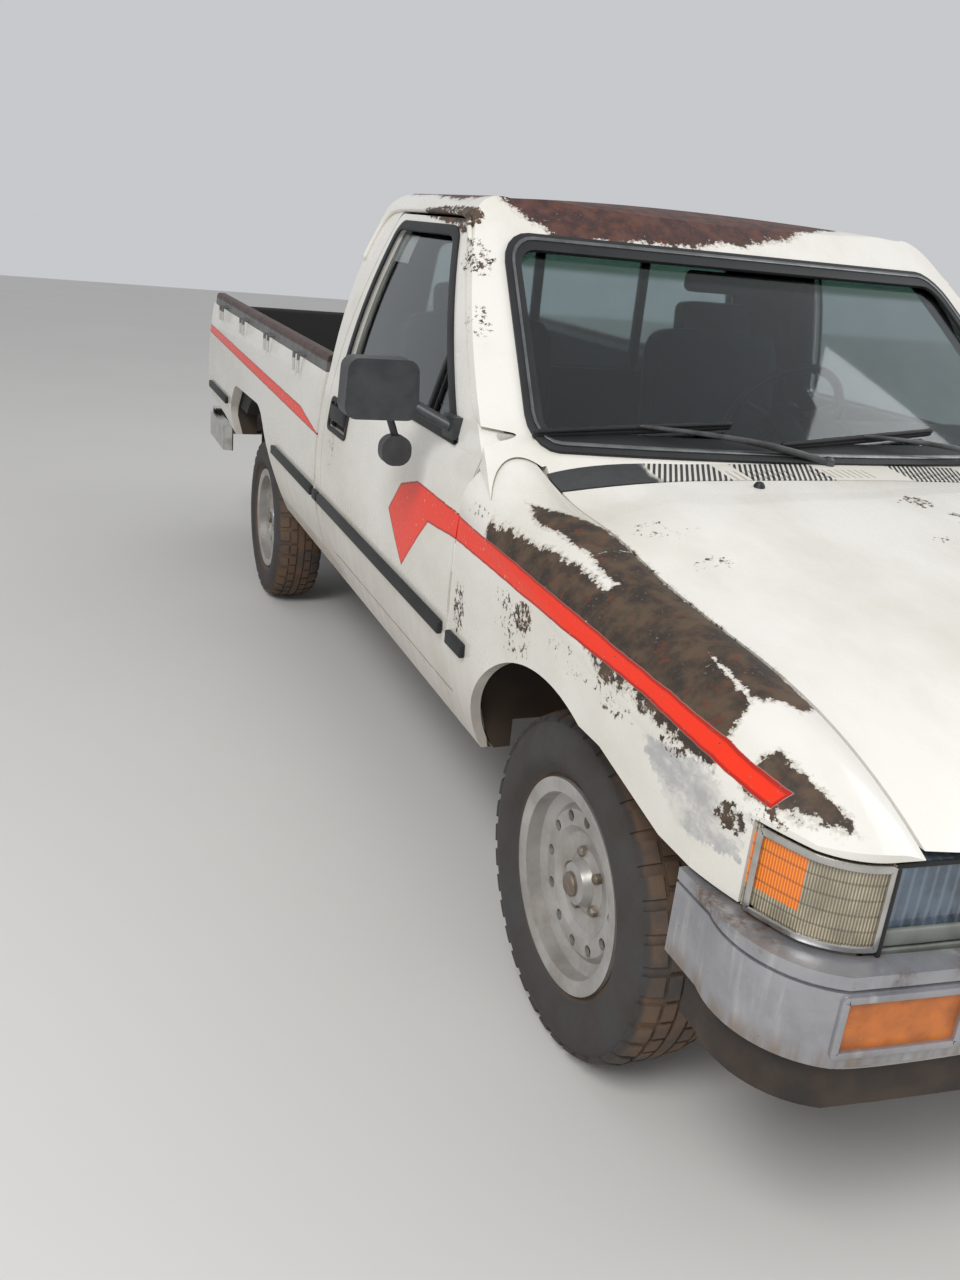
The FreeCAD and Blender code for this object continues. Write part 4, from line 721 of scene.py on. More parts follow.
def fit(piece, material, body="truck", smooth=35):
    """Finishes a piece drawn on the level body and fixes it to the truck."""
    finish(piece, material, smooth)
    take(piece)
    edit()
    close_up()
    piece.data.transform(TO_TRUCK)
    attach(piece, body)


ACROSS = Matrix.Scale(-1, 4, (1, 0, 0))
OTHER = {"door_left": "door_right", "truck": "truck", "bonnet": "bonnet"}


def both(piece, material, body="truck", smooth=35):
    """Fits a left-hand piece and its right-hand twin."""
    fit(piece, material, body, smooth)
    name = piece.name
    piece.name = name + "_left"
    twin = copied(piece, name + "_right", ACROSS)
    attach(twin, OTHER[body])
    return piece, twin


rubber = dusty("window_rubber", colour(28, 29, 30), 0.55, height=0.4, amount=0.2, grain=240.0,
               second=colour(18, 19, 20), scale=9.0)
bright = dusty("bright_strip", colour(134, 136, 136), 0.34, metallic=0.9, height=0.4, amount=0.2)
screen = window(0.715, 1.010, 0.620, 1.408)
fit(edging("windscreen_rubber", screen, 0.062, 0.034, on_screen, 0.009, cuts=14), rubber)
strip = window(0.701, 1.019, 0.608, 1.399)
fit(edging("windscreen_bright_strip", strip, 0.055, 0.0065, on_screen, 0.004, sunk=-0.0068,
           cuts=14), bright)
rear = window(0.574, 1.008, 0.517, 1.394)
fit(edging("rear_window_rubber", rear, 0.055, 0.030, on_back, 0.008, cuts=4), rubber)

# Glass: toughened door and rear panes, and a laminated windscreen with a green
# band along its top, all held by the rubbers round their edges.
GREEN_FROM, GREEN_FULL = 1.335, 1.350


def pane(name):
    """Glass with a thin film of dirt; the film's colour is returned too."""
    material, sheet, shader, place = new_material(
        name, roughness=0.03, transmission_weight=1.0, ior=1.45)
    film = sheet.noise(place, 6.0, 5.0, 0.6)
    film = sheet.mix(film, colour(176, 190, 192), colour(200, 210, 210))
    sheet.put(shader, "Base Color", film)
    return material, sheet, shader, place, film


window_glass = pane("window_glass")[0]
dress(window_glass, "rear_window", "door_glass_left", "door_glass_right")
tinted_glass, sheet, shader, place, film = pane("tinted_screen_glass")
band = sheet.ramp(sheet.axes(on_body(sheet, place))["Z"], GREEN_FROM, GREEN_FULL)
sheet.put(shader, "Base Color", sheet.mix(band, film, colour(96, 128, 112)))
dress(tinted_glass, "windscreen_glass")

# Wipers: two pressed-steel arms on splined pivots in the cowl, each pulling a
# black rubber blade on to the windscreen.
arm_silver = dusty("wiper_arm_paint", colour(92, 94, 96), 0.42, metallic=0.4, height=0.4,
                   amount=0.2, second=colour(48, 46, 44))


def plate(name, points, thick, bevel=0.0, segments=2):
    """A sheet of the outline's shape, thickened by the vector thick, edges eased."""
    piece = outline(name, points, "NGON")
    edit()
    bpy.ops.mesh.extrude_region_move(TRANSFORM_OT_translate={"value": thick})
    bpy.ops.mesh.select_all(action="SELECT")
    bpy.ops.mesh.normals_make_consistent(inside=False)
    if bevel:
        bpy.ops.mesh.bevel(offset=bevel, segments=segments, affect="EDGES")
    close_up()
    return piece


def block(name, low, high, bevel=0.0, segments=2):
    """A box between two corners with eased edges."""
    begin()
    middle = [(a + b) / 2 for a, b in zip(low, high)]
    bpy.ops.mesh.primitive_cube_add(size=1, location=middle)
    piece = bpy.context.object
    piece.name = name
    piece.scale = [b - a for a, b in zip(low, high)]
    bpy.ops.object.transform_apply(location=True, rotation=True, scale=True)
    if bevel:
        edit()
        bpy.ops.mesh.bevel(offset=bevel, segments=segments, affect="EDGES")
        close_up()
    return piece


def tube(name, points, radius, sides=3, taper=None):
    """A round bar along a smooth line; taper gives the radius share at each point."""
    curve = bpy.data.curves.new(name, "CURVE")
    curve.dimensions = "3D"
    curve.bevel_depth = radius
    curve.bevel_resolution = sides
    curve.use_fill_caps = True
    line = curve.splines.new("NURBS")
    line.points.add(len(points) - 1)
    for index, (spot, point) in enumerate(zip(line.points, points)):
        spot.co = (*point, 1.0)
        spot.radius = taper[index] if taper else 1.0
    line.order_u = 3
    line.use_endpoint_u = True
    piece = bpy.data.objects.new(name, curve)
    bpy.context.collection.objects.link(piece)
    take(piece)
    bpy.ops.object.convert(target="MESH")
    return bpy.context.object


def placed(piece, spot, angle=0, axis="X"):
    """Turns a piece about an axis, degrees, and moves it to its spot."""
    piece.data.transform(Matrix.Translation(spot) @ Matrix.Rotation(math.radians(angle), 4, axis))
    return piece


def joined(name, pieces):
    begin()
    for piece in pieces:
        piece.select_set(True)
    bpy.context.view_layer.objects.active = pieces[0]
    bpy.ops.object.join()
    pieces[0].name = name
    return pieces[0]


WIPER_SHIFT = 0.540
WIPER_STEPS = 8
WIPER_PIVOT = Vector((-0.052, 0.384, 1.016))
BLADE_ENDS = [(-0.700, 1.034), (-0.262, 1.066)]
for index, shift in enumerate((0.0, WIPER_SHIFT)):
    def glass(share, lift):
        across = BLADE_ENDS[0][0] + (BLADE_ENDS[1][0] - BLADE_ENDS[0][0]) * share
        up = BLADE_ENDS[0][1] + (BLADE_ENDS[1][1] - BLADE_ENDS[0][1]) * share
        return on_screen(across + shift, up, lift)
    pivot = WIPER_PIVOT + Vector((shift, 0, 0))
    shares = [t / WIPER_STEPS for t in range(WIPER_STEPS + 1)]
    squeegee = tube("wiper", [glass(t, 0.0085) for t in shares], 0.0065)
    spine = tube("wiper", [glass(t, 0.017 + 0.004 * math.sin(math.pi * t)) for t in shares], 0.0050)
    claws = [tube("wiper", [glass(t, 0.006), glass(t, 0.018)], 0.004)
             for t in (0.03, 0.25, 0.48, 0.72, 0.97)]
    blade = joined(f"wiper_blade_{index + 1}", [squeegee, spine] + claws)
    fit(blade, rubber)
    hold = glass(0.50, 0.024)
    reach = pivot.lerp(hold, 0.25) + Vector((0, -0.012, 0.014))
    arm = tube("wiper_arm", [pivot, reach, pivot.lerp(hold, 0.7) + Vector((0, -0.008, 0.012)),
                             hold], 0.0055, taper=[1.4, 1.5, 0.9, 0.7])
    nut = turned("wiper_nut", [(-0.006, 0.0), (-0.006, 0.013), (0.008, 0.012), (0.013, 0.007),
                               (0.014, 0.0)], 16)
    placed(nut, pivot, -90, "Y")
    fit(joined(f"wiper_arm_{index + 1}", [arm, nut]), arm_silver)

# Cowl: a pressed panel between bonnet and windscreen with air slots, dull grey
# at its ends where the paint has gone, and white towards the middle; the slots are painted dark
# grey, painted shade inside them.
SLOT_PITCH, SLOTS_FROM, SLOTS_GAP, SLOTS_TO, SLOT_EDGE = 0.0125, 0.100, 0.318, 0.486, 0.004
GAP_HALF, DULL_FROM, DULL_FULL = 0.020, 0.510, 0.530
cowl_paint, sheet, shader, place = new_material("cowl_paint")
axes = sheet.axes(place)
slant = sheet.line(axes["Y"], -0.55, axes["X"])
rows = sheet.wave(slant, SLOT_PITCH)
across = sheet.unsigned(axes["X"])
vents = sheet.least(sheet.ramp(across, SLOTS_FROM, SLOTS_FROM + SLOT_EDGE),
                    sheet.ramp(across, SLOTS_TO + SLOT_EDGE, SLOTS_TO),
                    sheet.ramp(sheet.unsigned(sheet.minus(across, SLOTS_GAP)), GAP_HALF,
                               GAP_HALF + SLOT_EDGE))
# Painted shade in the air slots, which the bump also sinks
slot_shade_and_grooves = sheet.times(sheet.ramp(rows, -0.2, 0.3), vents)
dull = sheet.ramp(sheet.line(sheet.noise(place, 20.0), 0.05, across), DULL_FROM, DULL_FULL)
mottle = sheet.noise(place, 30.0, 5.0, 0.7)
white = sheet.mix(mottle, colour(226, 223, 214), colour(200, 195, 184))
grey = sheet.mix(mottle, colour(66, 68, 68), colour(44, 45, 46))
sheet.give(shader, Base_Color=sheet.mix(sheet.most(slot_shade_and_grooves, dull), white, grey),
           Roughness=sheet.line(mottle, 0.3, 0.35))
sheet.relief(shader, sheet.times(slot_shade_and_grooves, -1.0), 0.8, 0.004)
dress(cowl_paint, "cowl_panel")

# Pillar feet: a filler piece behind each joint of pillar, wing and cowl, so that
# the joint isn't open to the cabin.
filler = dusty("joint_filler", colour(206, 202, 192), 0.55, height=0.1, amount=0.0)
plug = block("pillar_foot_filler", (0.722, 0.508, 1.006), (0.764, 0.548, 1.035), 0.006)
both(plug, filler)

# Bonnet fittings: two washer nozzles pushed into holes near the cowl.
nozzle = turned("washer_nozzle", [(-0.002, 0.0), (-0.002, 0.012), (0.003, 0.011), (0.009, 0.007),
                                  (0.011, 0.0)], 16)
both(placed(nozzle, (0.308, 0.261, 0.9925), -90, "Y"), rubber, "bonnet")

# Doors: a pressed skin with a black seal round the window, a swivelling quarter
# light, a flap handle in a black cup and a rubbing strip that runs on to the bed.
SEAL = [(0.606, 0.986), (1.580, 0.986), (1.517, 1.414), (1.060, 1.414)]
both(edging("door_window_seal", SEAL, 0.040, 0.024, on_side, 0.006, cuts=8), rubber,
     "door_left")


def side_bar(name, low, high, width, thick, lift, steps=6):
    """A flat bar on the door's side from low to high, both (rearward, up)."""
    points = []
    for sign in (-0.5, 0.5):
        line = [(low[0] + (high[0] - low[0]) * t / steps + sign * width,
                 low[1] + (high[1] - low[1]) * t / steps) for t in range(steps + 1)]
        points += line if sign < 0 else line[::-1]
    piece = outline(name, [(u, v, 0) for u, v in points])
    edit()
    bpy.ops.mesh.delete(type="EDGE_FACE")
    bpy.ops.object.mode_set(mode="OBJECT")
    shape = bmesh.new()
    shape.from_mesh(piece.data)
    shape.verts.ensure_lookup_table()
    count = steps + 1
    for t in range(steps):
        shape.faces.new([shape.verts[i] for i in (t, t + 1, 2 * count - 2 - t, 2 * count - 1 - t)])
    shape.to_mesh(piece.data)
    shape.free()
    for vertex in piece.data.vertices:
        vertex.co = on_side(vertex.co.x, vertex.co.y, lift)
    return thickened(piece, thick, thick * 0.25, 30)


both(side_bar("quarter_light_bar", (0.868, 0.996), (0.812, 1.252), 0.016, 0.010, -0.010), rubber,
     "door_left")
both(side_bar("quarter_light_seal", (0.836, 1.004), (0.790, 1.222), 0.006, 0.008, -0.012), rubber,
     "door_left")
catch = block("quarter_light_catch", (-0.006, -0.020, -0.009), (0.006, 0.020, 0.009), 0.003)
both(placed(catch, on_side(0.822, 1.035, -0.028)), rubber, "door_left")

sticker_white, sheet, shader, place = new_material("sticker_paper", roughness=0.6)
tone = sheet.noise(place, 40.0, 4.0)
sheet.put(shader, "Base Color", sheet.mix(tone, colour(232, 232, 228), colour(214, 214, 208)))
label = side_bar("window_sticker", (1.425, 1.316), (1.425, 1.386), 0.118, 0.0008, -0.0165, 3)
fit(label, sticker_white, "door_left")
label.data.transform(ACROSS)
label.data.flip_normals()
label.name = "window_sticker_right"
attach(label, "door_right")

cup = plate("handle_cup", [(0.8105, y, z) for y, z in oblong(1.428, 1.612, 0.841, 0.919)],
            (0.0015, 0, 0), 0.0006)
ring = edging("handle_ring", oblong(1.419, 1.621, 0.832, 0.928), 0.020, 0.014, on_side, 0.005,
              cuts=3)
take(ring)
for modifier in list(ring.modifiers):
    bpy.ops.object.modifier_apply(modifier=modifier.name)
flap = block("handle_flap", (0.8172, 1.4365, 0.8650), (0.8335, 1.5935, 0.9075), 0.005, 3)
pad = block("handle_lock", (0.8120, 1.5960, 0.8450), (0.8250, 1.6090, 0.8580), 0.004, 3)
both(joined("door_handle", [ring, cup, flap, pad]), rubber, "door_left")

# Mirrors: grained black plastic housings on a bent arm, with a small round-edged
# kerb mirror hung below; the glass is set in the rear face.
mirror_black = dusty("mirror_plastic", colour(62, 64, 66), 0.42, height=0.3, amount=0.2,
                     grain=300.0, second=colour(38, 40, 42), scale=9.0)
dress(mirror_black, "mirror_left", "mirror_right")
silvered, sheet, shader, place = new_material("silvered_glass", metallic=1.0)
haze = sheet.noise(place, 12.0, 4.0)
sheet.give(shader, Base_Color=sheet.mix(haze, colour(196, 202, 206), colour(172, 178, 182)),
           Roughness=sheet.line(haze, 0.10, 0.02))
glass = plate("mirror_glass", [(x, 0.7505, z) for x, z in
                               ((0.882, 1.036), (1.016, 1.036), (1.011, 1.132), (0.886, 1.132))],
              (0, 0.004, 0), 0.0012)
both(glass, silvered, "door_left")
small = turned("kerb_mirror_glass", [(0.0, 0.0), (0.0, 0.026), (0.0035, 0.026), (0.0045, 0.022),
                                     (0.0055, 0.0)], 32)
both(placed(small, (0.905, 0.7495, 0.954), 90, "Z"), silvered, "door_left")

# Rubbing strips: black rubber moulding along wing, door, cab and bed, clipped to
# the skin. Those of wing and door stand apart, so that the door can swing.
STRIPS = [("wing", "truck", 0.402, 0.494), ("door", "door_left", 0.542, 1.653),
          ("cab", "truck", 1.665, 1.718), ("bed_front", "truck", 1.748, 2.360),
          ("bed_rear", "truck", 3.372, 3.850)]
STRIP_BACK, STRIP_FACE, STRIP_LOW, STRIP_HIGH = 0.8345, 0.8480, 0.602, 0.632
for name, body, front, rear in STRIPS:
    strip = block("rub_strip_" + name, (STRIP_BACK, front, STRIP_LOW),
                  (STRIP_FACE, rear, STRIP_HIGH), 0.004, 3)
    both(strip, rubber, body)

# Drip rail: the folded seam between roof and cab side above each door, which
# leads rain past the window and is painted with the roof.
rail_line = [(0.955, 1.385), (1.010, 1.424), (1.060, 1.441), (1.200, 1.443), (1.400, 1.443),
             (1.590, 1.441), (1.650, 1.428), (1.690, 1.385), (1.702, 1.300)]
both(tube("drip_rail", [on_side(y, z, 0.004) for y, z in rail_line], 0.0065), white_paint)

# Lamps on the nose: ribbed clear corner lenses with an amber block inside, in a
# chromed frame, and flat headlamps with a ridged trim below them.
PLAN = [((0.700, -0.668), (0.748, -0.656), (0.788, -0.622)),
        ((0.788, -0.622), (0.824, -0.520), (0.838, -0.330))]
PLAN_STEPS = 24
plan_line = []
for arc in PLAN:
    x, y, radius = round_centre(*arc)
    first, last = (math.atan2(point[1] - y, point[0] - x) for point in (arc[0], arc[2]))
    turns = [first + (last - first) * t / PLAN_STEPS for t in range(PLAN_STEPS + 1)]
    plan_line += [(x + radius * math.cos(turn), y + radius * math.sin(turn)) for turn in turns]


def on_corner(along, up, lift):
    """A point on the nose's corner, along metres round it from the headlamp."""
    travelled = 0.0
    for (x0, y0), (x1, y1) in zip(plan_line, plan_line[1:]):
        step = math.hypot(x1 - x0, y1 - y0)
        if step and travelled + step >= along:
            share = (along - travelled) / step
            out = Vector((-(y0 - y1), x0 - x1, 0)).normalized()
            return Vector((x0 + (x1 - x0) * share, y0 + (y1 - y0) * share, up)) + out * lift
        travelled += step
    raise ValueError(along)


chrome = dusty("worn_chrome", colour(196, 194, 190), 0.22, metallic=1.0, height=0.6, amount=0.6)
dress(chrome, "rear_bumper")
LAMP_REAR = -0.543
lamp_end = 0.0
for (x0, y0), (x1, y1) in zip(plan_line, plan_line[1:]):
    if y1 <= LAMP_REAR:
        lamp_end += math.hypot(x1 - x0, y1 - y0)
frame_corners = oblong(0.0065, lamp_end, 0.6470, 0.7655)
both(edging("corner_lamp_frame", frame_corners, 0.006, 0.0085, on_corner, 0.008, sunk=0.002,
            cuts=12), chrome)
lamp_post = block("lamp_post", (0.7020, -0.6745, 0.6280), (0.7085, -0.6400, 0.7630), 0.0015)
both(lamp_post, rubber)
RIB_PITCH, BAR_PITCH = 0.0052, 0.0215
AMBER_FRONT, AMBER_LOW, AMBER_HIGH, AMBER_EDGE = -0.6165, 0.681, 0.753, 0.001
lens, sheet, shader, place = new_material("ribbed_lens", roughness=0.12, coat_weight=0.6)
axes = sheet.axes(on_body(sheet, place))
across = sheet.unsigned(axes["X"])
ribs = sheet.wave(sheet.plus(across, axes["Y"]), RIB_PITCH)
bars = sheet.ramp(sheet.wave(axes["Z"], BAR_PITCH), 0.86, 0.96)
amber_part = sheet.least(
    sheet.ramp(axes["Y"], AMBER_FRONT - AMBER_EDGE, AMBER_FRONT + AMBER_EDGE),
    sheet.ramp(axes["Z"], AMBER_LOW - AMBER_EDGE, AMBER_LOW + AMBER_EDGE),
    sheet.ramp(axes["Z"], AMBER_HIGH + AMBER_EDGE, AMBER_HIGH - AMBER_EDGE))
depth = sheet.noise(place, 26.0, 3.0)
# Light and dark bands follow the ribs: painted highlight and shade on each rib, in the clear and
# the amber part alike
glassy = sheet.mix(sheet.ramp(ribs, -0.6, 0.8), colour(126, 114, 92), colour(196, 186, 158))
glassy = sheet.mix(sheet.times(sheet.ramp(depth, 0.35, 0.7), 0.5), glassy, colour(92, 86, 74))
orange = sheet.mix(sheet.ramp(ribs, -0.6, 0.8), colour(222, 104, 18), colour(255, 146, 30))
lens_colour = sheet.mix(amber_part, glassy, orange)
lens_colour = sheet.mix(sheet.times(bars, 0.45), lens_colour, colour(84, 76, 62))
sheet.put(shader, "Base Color", lens_colour)
sheet.relief(shader, sheet.plus(ribs, sheet.times(bars, -1.5)), 0.5, 0.0012)
dress(lens, "corner_lamps")

FLUTE_PITCH = 0.016
headlamp_glass, sheet, shader, place = new_material("headlamp_glass", coat_weight=1.0)
axes = sheet.axes(place)
flutes = sheet.wave(axes["X"], FLUTE_PITCH)
cloudy = sheet.noise(place, 9.0, 4.0)
# Painted light: the bowl behind the glass is painted dark blue-grey as painted shade and
# reflection, with a pale painted highlight along each flute
bowl_shade_and_glints = sheet.mix(sheet.ramp(cloudy, 0.35, 0.65), colour(26, 32, 40), colour(86, 104, 122))
bowl_shade_and_glints = sheet.mix(sheet.times(sheet.ramp(flutes, 0.2, 1.0), 0.25), bowl_shade_and_glints, colour(150, 164, 176))
sheet.give(shader, Base_Color=bowl_shade_and_glints, Roughness=sheet.line(cloudy, 0.15, 0.05),
           Metallic=sheet.line(cloudy, 0.3, 0.3))
sheet.relief(shader, flutes, 0.25, 0.001)
dress(headlamp_glass, "headlamps")
trim_grey = dusty("lamp_trim_paint", colour(128, 132, 126), 0.45, metallic=0.2, height=0.8,
                  amount=0.3, second=colour(104, 104, 98))
for index, (low, high) in enumerate(((0.6235, 0.6425), (0.6455, 0.6685))):
    edge = [(0.509, -0.6820), (0.573, -0.6770), (0.639, -0.6710), (0.702, -0.6640),
            (0.702, -0.6560), (0.639, -0.6620), (0.573, -0.6690), (0.509, -0.6740)]
    ridge = plate(f"lamp_trim_{index + 1}", [(x, y, low) for x, y in edge], (0, 0, high - low),
                  0.003, 3)
    both(ridge, trim_grey)
both(plate("headlamp_frame", [(0.5065, -0.6790, 0.7540), (0.7035, -0.6610, 0.7540),
                              (0.7035, -0.6610, 0.7610), (0.5065, -0.6790, 0.7610)],
           (0, 0.006, 0), 0.0012), rubber)

# Front bumper: a steel pressing sprayed silver, worn along its top, with orange
# lamps set in bright-edged pockets and a black valance with a metal bead below.
TOP_WEAR, LOW_STAINS = (0.598, 0.622), (0.545, 0.508)  # heights from none to full
silver, sheet, shader, place = new_material("silver_bumper_paint")
up = sheet.axes(on_body(sheet, place))["Z"]
cloud = sheet.noise(place, 6.0, 6.0, 0.65)
streaks = sheet.noise(sheet.stretched(place, (14.0, 14.0, 1.2)), 2.0, 5.0, 0.6)
fine = sheet.noise(place, 120.0, 4.0, 0.65)
base = sheet.mix(sheet.ramp(cloud, 0.3, 0.7), colour(172, 172, 176), colour(142, 142, 146))
base = sheet.mix(sheet.times(sheet.ramp(streaks, 0.55, 0.72), 0.55), base, colour(206, 204, 202))
wear = sheet.line(cloud, 0.9, sheet.ramp(up, *TOP_WEAR))
wear = sheet.times(sheet.ramp(wear, 1.44, 1.56), sheet.ramp(fine, 0.30, 0.62))
spots = sheet.ramp(fine, 0.70, 0.74, 0.0, 0.8)
base = sheet.mix(sheet.most(wear, spots), base, colour(96, 72, 56))
low_edge = sheet.times(sheet.ramp(up, *LOW_STAINS), sheet.ramp(streaks, 0.40, 0.62))
base = sheet.mix(sheet.times(low_edge, 0.7), base, colour(128, 110, 92))
out = sheet.group(dust_group, Place=place, Colour=base, Roughness=sheet.line(fine, 0.22, 0.24),
                  Height=0.62, Amount=0.35)
sheet.give(shader, Base_Color=out["Colour"], Roughness=out["Roughness"],
           Metallic=sheet.line(wear, -0.6, 0.62))
sheet.relief(shader, sheet.plus(fine, sheet.times(cloud, 2.0)), 0.2, 0.002)
dress(silver, "front_bumper")
amber = dusty("turn_lamp_lens", colour(206, 116, 44), 0.3, height=0.5, amount=0.2,
              second=colour(160, 88, 40))
dress(amber, "bumper_lamps")
BUMPER_FACE, BUMPER_SWEEP, BUMPER_HALF = -0.750, 0.050, 0.762


def on_bumper(across, up, lift):
    back = BUMPER_FACE + BUMPER_SWEEP * (across / BUMPER_HALF) ** 2
    return Vector((across, back - lift, up))


both(edging("turn_lamp_frame", oblong(0.590, 0.770, 0.5240, 0.6140), 0.008, 0.0095, on_bumper,
            0.007, sunk=0.003, cuts=6), silver)
BEAD_HEIGHT = 0.506
bead = [(0.826, -0.490), (0.824, -0.560), (0.812, -0.640), (0.775, -0.690), (0.700, -0.706),
        (0.500, -0.722), (0.250, -0.732), (0.0, -0.736)]
bead_line = [(x, y, BEAD_HEIGHT) for x, y in bead]
bead_line += [(-x, y, BEAD_HEIGHT) for x, y in reversed(bead[:-1])]
fit(tube("valance_bead", bead_line, 0.004, 2), chrome)
valance_black = dusty("valance_plastic", colour(30, 28, 27), 0.7, height=0.62, amount=0.55,
                      grain=90.0, second=colour(50, 40, 33), scale=11.0)
dress(valance_black, "front_valance", "mud_flaps", "floor_controls")
grille_black = dusty("grille_plastic", colour(40, 41, 42), 0.5, height=0.6, amount=0.5)
dress(grille_black, "grille")

# Bed: side rails of folded steel on the bed's edges, worn brown along their
# tops, with rope hooks below; a pressed tailgate with a flap handle.
RAIL_BROWN, RAIL_HOOKS = (1.006, 1.012), (0.972, 0.968)  # heights from none to full
rail_grey, sheet, shader, place = new_material("rail_paint")
up = sheet.axes(on_body(sheet, place))["Z"]
mottle = sheet.noise(place, 24.0, 6.0, 0.7)
grey = sheet.mix(mottle, colour(128, 128, 126), colour(86, 86, 86))
brown = sheet.mix(mottle, colour(82, 52, 40), colour(46, 34, 30))
top = sheet.ramp(sheet.line(mottle, 0.010, up), *RAIL_BROWN)
hooks = sheet.ramp(up, *RAIL_HOOKS)
metal = sheet.mix(hooks, sheet.mix(top, grey, brown), colour(196, 194, 188))
sheet.give(shader, Base_Color=metal, Roughness=sheet.line(mottle, 0.3, 0.35),
           Metallic=sheet.line(top, -0.3, 0.35))
sheet.relief(shader, mottle, 0.3)
dress(rail_grey, "bed_rails")
CELL_PITCH = 0.006
AMBER_FROM, CLEAR_TO = 0.807, 0.737
tail_lens, sheet, shader, place = new_material("tail_lens", roughness=0.15, coat_weight=0.5)
axes = sheet.axes(on_body(sheet, place))
dots = sheet.wave(axes["Z"], CELL_PITCH)
cells = sheet.times(dots, sheet.wave(axes["X"], CELL_PITCH))
# Each cell is painted darker in its hollow and lighter on its crown: painted shade and highlight in
# the red, amber and clear parts
depth = sheet.ramp(cells, -0.5, 0.5)
lens_red = sheet.mix(depth, colour(136, 16, 14), colour(186, 30, 24))
lens_amber = sheet.mix(depth, colour(206, 96, 20), colour(236, 128, 34))
lens_clear = sheet.mix(depth, colour(178, 178, 172), colour(206, 206, 200))
tail = sheet.mix(sheet.ramp(axes["Z"], AMBER_FROM - 0.001, AMBER_FROM + 0.001), lens_red,
                 lens_amber)
tail = sheet.mix(sheet.ramp(axes["Z"], CLEAR_TO + 0.001, CLEAR_TO - 0.001), tail, lens_clear)
for seam in (CLEAR_TO, AMBER_FROM):
    near = sheet.unsigned(sheet.minus(axes["Z"], seam))
    tail = sheet.mix(sheet.ramp(near, 0.0012, 0.0018, 1.0, 0.0), tail, colour(60, 20, 16))
sheet.put(shader, "Base Color", tail)
sheet.relief(shader, cells, 0.3, 0.0008)
dress(tail_lens, "tail_lamps")
gate = block("tailgate_handle", (-0.078, 3.9262, 0.8525), (0.078, 3.9420, 0.8900), 0.004, 3)
fit(gate, rubber, "tailgate")

# Seats: two bucket seats of foam under dark blue-grey woven cloth, with sewn
# channels and headrests on steel posts, each on a boxed base trimmed in vinyl.
THREAD_PITCH = 0.0022
seat_cloth, sheet, shader, place = new_material("seat_cloth", roughness=0.85, sheen_weight=0.3)
axes = sheet.axes(place)
across = sheet.wave(axes["X"], THREAD_PITCH)
along = sheet.wave(sheet.plus(axes["Y"], axes["Z"]), THREAD_PITCH)
weave = sheet.times(across, along)
faded = sheet.noise(place, 7.0, 5.0)
cloth = sheet.mix(sheet.ramp(faded, 0.3, 0.7), colour(30, 33, 44), colour(42, 46, 56))
thread = sheet.ramp(weave, -0.5, 0.6, 0.0, 0.5)
sheet.put(shader, "Base Color", sheet.mix(thread, cloth, colour(18, 19, 26)))
sheet.relief(shader, weave, 0.15, 0.0005)
BOXINESS = 7.0
CHANNEL_WIDTH, CHANNEL_DEPTH = 0.035, 0.09
SEAM_PLACE, SEAM_WIDTH, SEAM_DEPTH = 0.90, 0.03, 0.04


def cushion(name, size, channels, crown, steps=18):
    """A padded block centred on the origin; channels run along Y at the given X shares."""
    begin()
    bpy.ops.mesh.primitive_cube_add(size=2)
    piece = bpy.context.object
    piece.name = name
    edit()
    bpy.ops.mesh.subdivide(number_cuts=steps)
    bpy.ops.object.mode_set(mode="OBJECT")
    half = Vector(size) / 2
    for vertex in piece.data.vertices:
        a, b, c = vertex.co
        stretch = sum(abs(value) ** BOXINESS for value in (a, b, c)) ** (-1 / BOXINESS)
        a, b, c = a * stretch, b * stretch, c * stretch
        swell = 1 - 0.10 * abs(a) ** 3 - 0.07 * abs(b) ** 3
        pull = 1 - 0.025 * (1 - abs(b) ** 2) * abs(a) ** 4
        high = c * swell
        if c > 0.3:
            groove = sum(math.exp(-((a - x) / CHANNEL_WIDTH) ** 2) for x in channels)
            seam = math.exp(-((max(abs(a), abs(b)) - SEAM_PLACE) / SEAM_WIDTH) ** 2)
            high += crown * (1 - a * a) * (1 - b * b) - CHANNEL_DEPTH * groove - SEAM_DEPTH * seam
        vertex.co = (a * half.x * pull, b * half.y, high * half.z)
    smooth = piece.modifiers.new("smooth", "SUBSURF")
    smooth.levels = 1
    smooth.render_levels = 1
    return piece


SEAT_X = 0.4025
CHANNELS = (-0.55, -0.18, 0.18, 0.55)


def upholstered(name, size, place, tilt, channels, crown):
    piece = cushion(name, size, channels, crown)
    take(piece)
    bpy.ops.object.modifier_apply(modifier="smooth")
    placed(piece, place, tilt)
    for item in both(piece, seat_cloth, smooth=60):
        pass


upholstered("seat_cushion", (0.470, 0.500, 0.150), (SEAT_X, 1.366, 0.672), 4, CHANNELS, 0.10)
upholstered("seat_back", (0.460, 0.500, 0.130), (SEAT_X, 1.576, 0.930), 82, CHANNELS, 0.12)
upholstered("seat_headrest", (0.255, 0.150, 0.088), (SEAT_X, 1.620, 1.186), 84, (), 0.15)
base_vinyl = dusty("seat_base_vinyl", colour(30, 31, 34), 0.7, height=0.3, amount=0.0)
base = plate("seat_base", [(x, y, 0.4660) for x, y in oblong(0.190, 0.615, 1.160, 1.600)],
             (0, 0, 0.135), 0.008)
posts = [tube("post", [(x, 1.612, 1.080), (x, 1.616, 1.200)], 0.006) for x in (0.350, 0.455)]
pair = both(joined("seat_base", [base] + posts), base_vinyl)
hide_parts("seats")

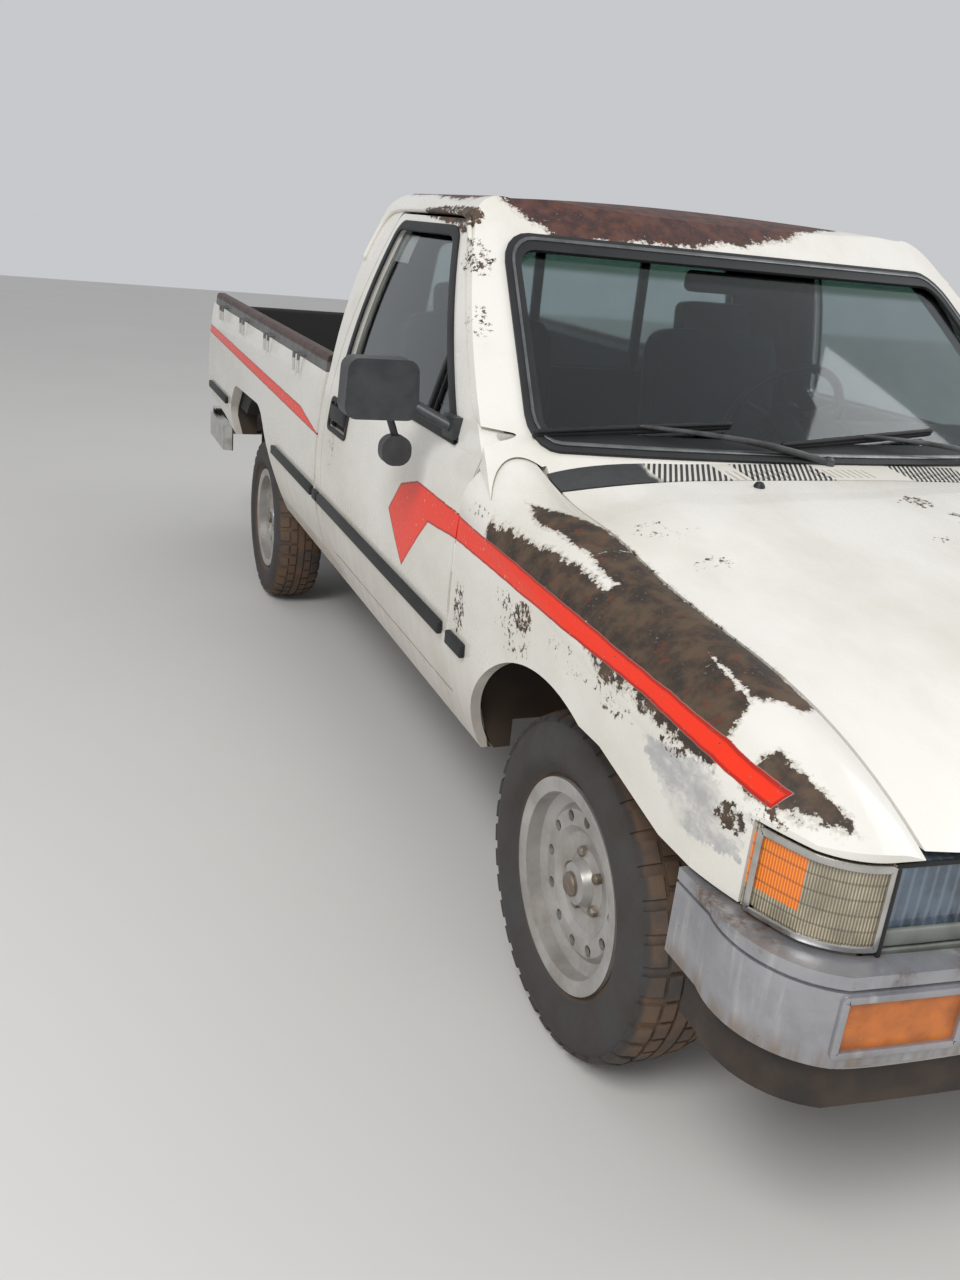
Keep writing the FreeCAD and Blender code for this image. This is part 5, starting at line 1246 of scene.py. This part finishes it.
# Cab inside: a moulded dash with a hood over the dials, a thick-rimmed wheel,
# a hung mirror and two sun visors; two posts part the sliding rear window.
cabin_plastic = dusty("cabin_plastic", colour(40, 46, 48), 0.55, height=0.1, amount=0.0,
                      grain=260.0, bump=0.02, second=colour(30, 34, 36))
dress(cabin_plastic, "dashboard")
wheel_rim = dusty("wheel_grip", colour(26, 26, 28), 0.5, height=0.1, amount=0.0, grain=200.0)
dress(wheel_rim, "steering_wheel", "interior_mirror")
room_glass = plate("room_mirror_glass",
                   [(x, 0.9552, z) for x, z in oblong(-0.116, 0.116, 1.324, 1.357)],
                   (0, 0.0025, 0), 0.0008)
fit(room_glass, silvered)
visor_vinyl = dusty("visor_vinyl", colour(52, 54, 58), 0.7, height=0.1, amount=0.0, grain=220.0)
visor = plate("sun_visor", [(0.130, 0.972, 1.398), (0.560, 0.972, 1.392), (0.560, 1.075, 1.428),
                            (0.130, 1.075, 1.434)], (0, -0.004, 0.012), 0.005, 3)
both(visor, visor_vinyl)
for index, across in enumerate((-0.180, 0.180)):
    bar = block(f"rear_window_post_{index + 1}", (across - 0.0125, 1.6900, 1.0240),
                (across + 0.0125, 1.7180, 1.3780), 0.0025)
    fit(bar, rubber)

# Studio: a pale floor and an even pale world, with a large soft lamp to the front
# right and a weaker one to the front left.
begin()
bpy.ops.mesh.primitive_plane_add(size=60, location=(0, 0, 0))
floor = bpy.context.object
floor.name = "floor"
floor_pale, sheet, shader, place = new_material("floor_pale", roughness=0.9)
tone = sheet.noise(place, 0.6, 3.0)
sheet.put(shader, "Base Color", sheet.mix(tone, colour(214, 212, 208), colour(206, 204, 200)))
floor.data.materials.append(floor_pale)

world = bpy.data.worlds.new("studio")
bpy.context.scene.world = world
world.use_nodes = True
backdrop = world.node_tree.nodes["Background"]
backdrop.inputs["Color"].default_value = colour(226, 228, 232)
backdrop.inputs["Strength"].default_value = 0.75


def soft_lamp(name, place, aim, size, power):
    bpy.ops.object.light_add(type="AREA", location=place)
    lamp = bpy.context.object
    lamp.name = name
    lamp.data.size = size
    lamp.data.energy = power
    turn = (Vector(aim) - Vector(place)).to_track_quat("-Z", "Y")
    lamp.rotation_euler = turn.to_euler()


soft_lamp("key", (-5.0, -5.5, 6.5), (0, -0.5, 0.6), 3.0, 430)
soft_lamp("fill", (5.0, -3.0, 5.0), (0, 0, 0.6), 5.0, 160)
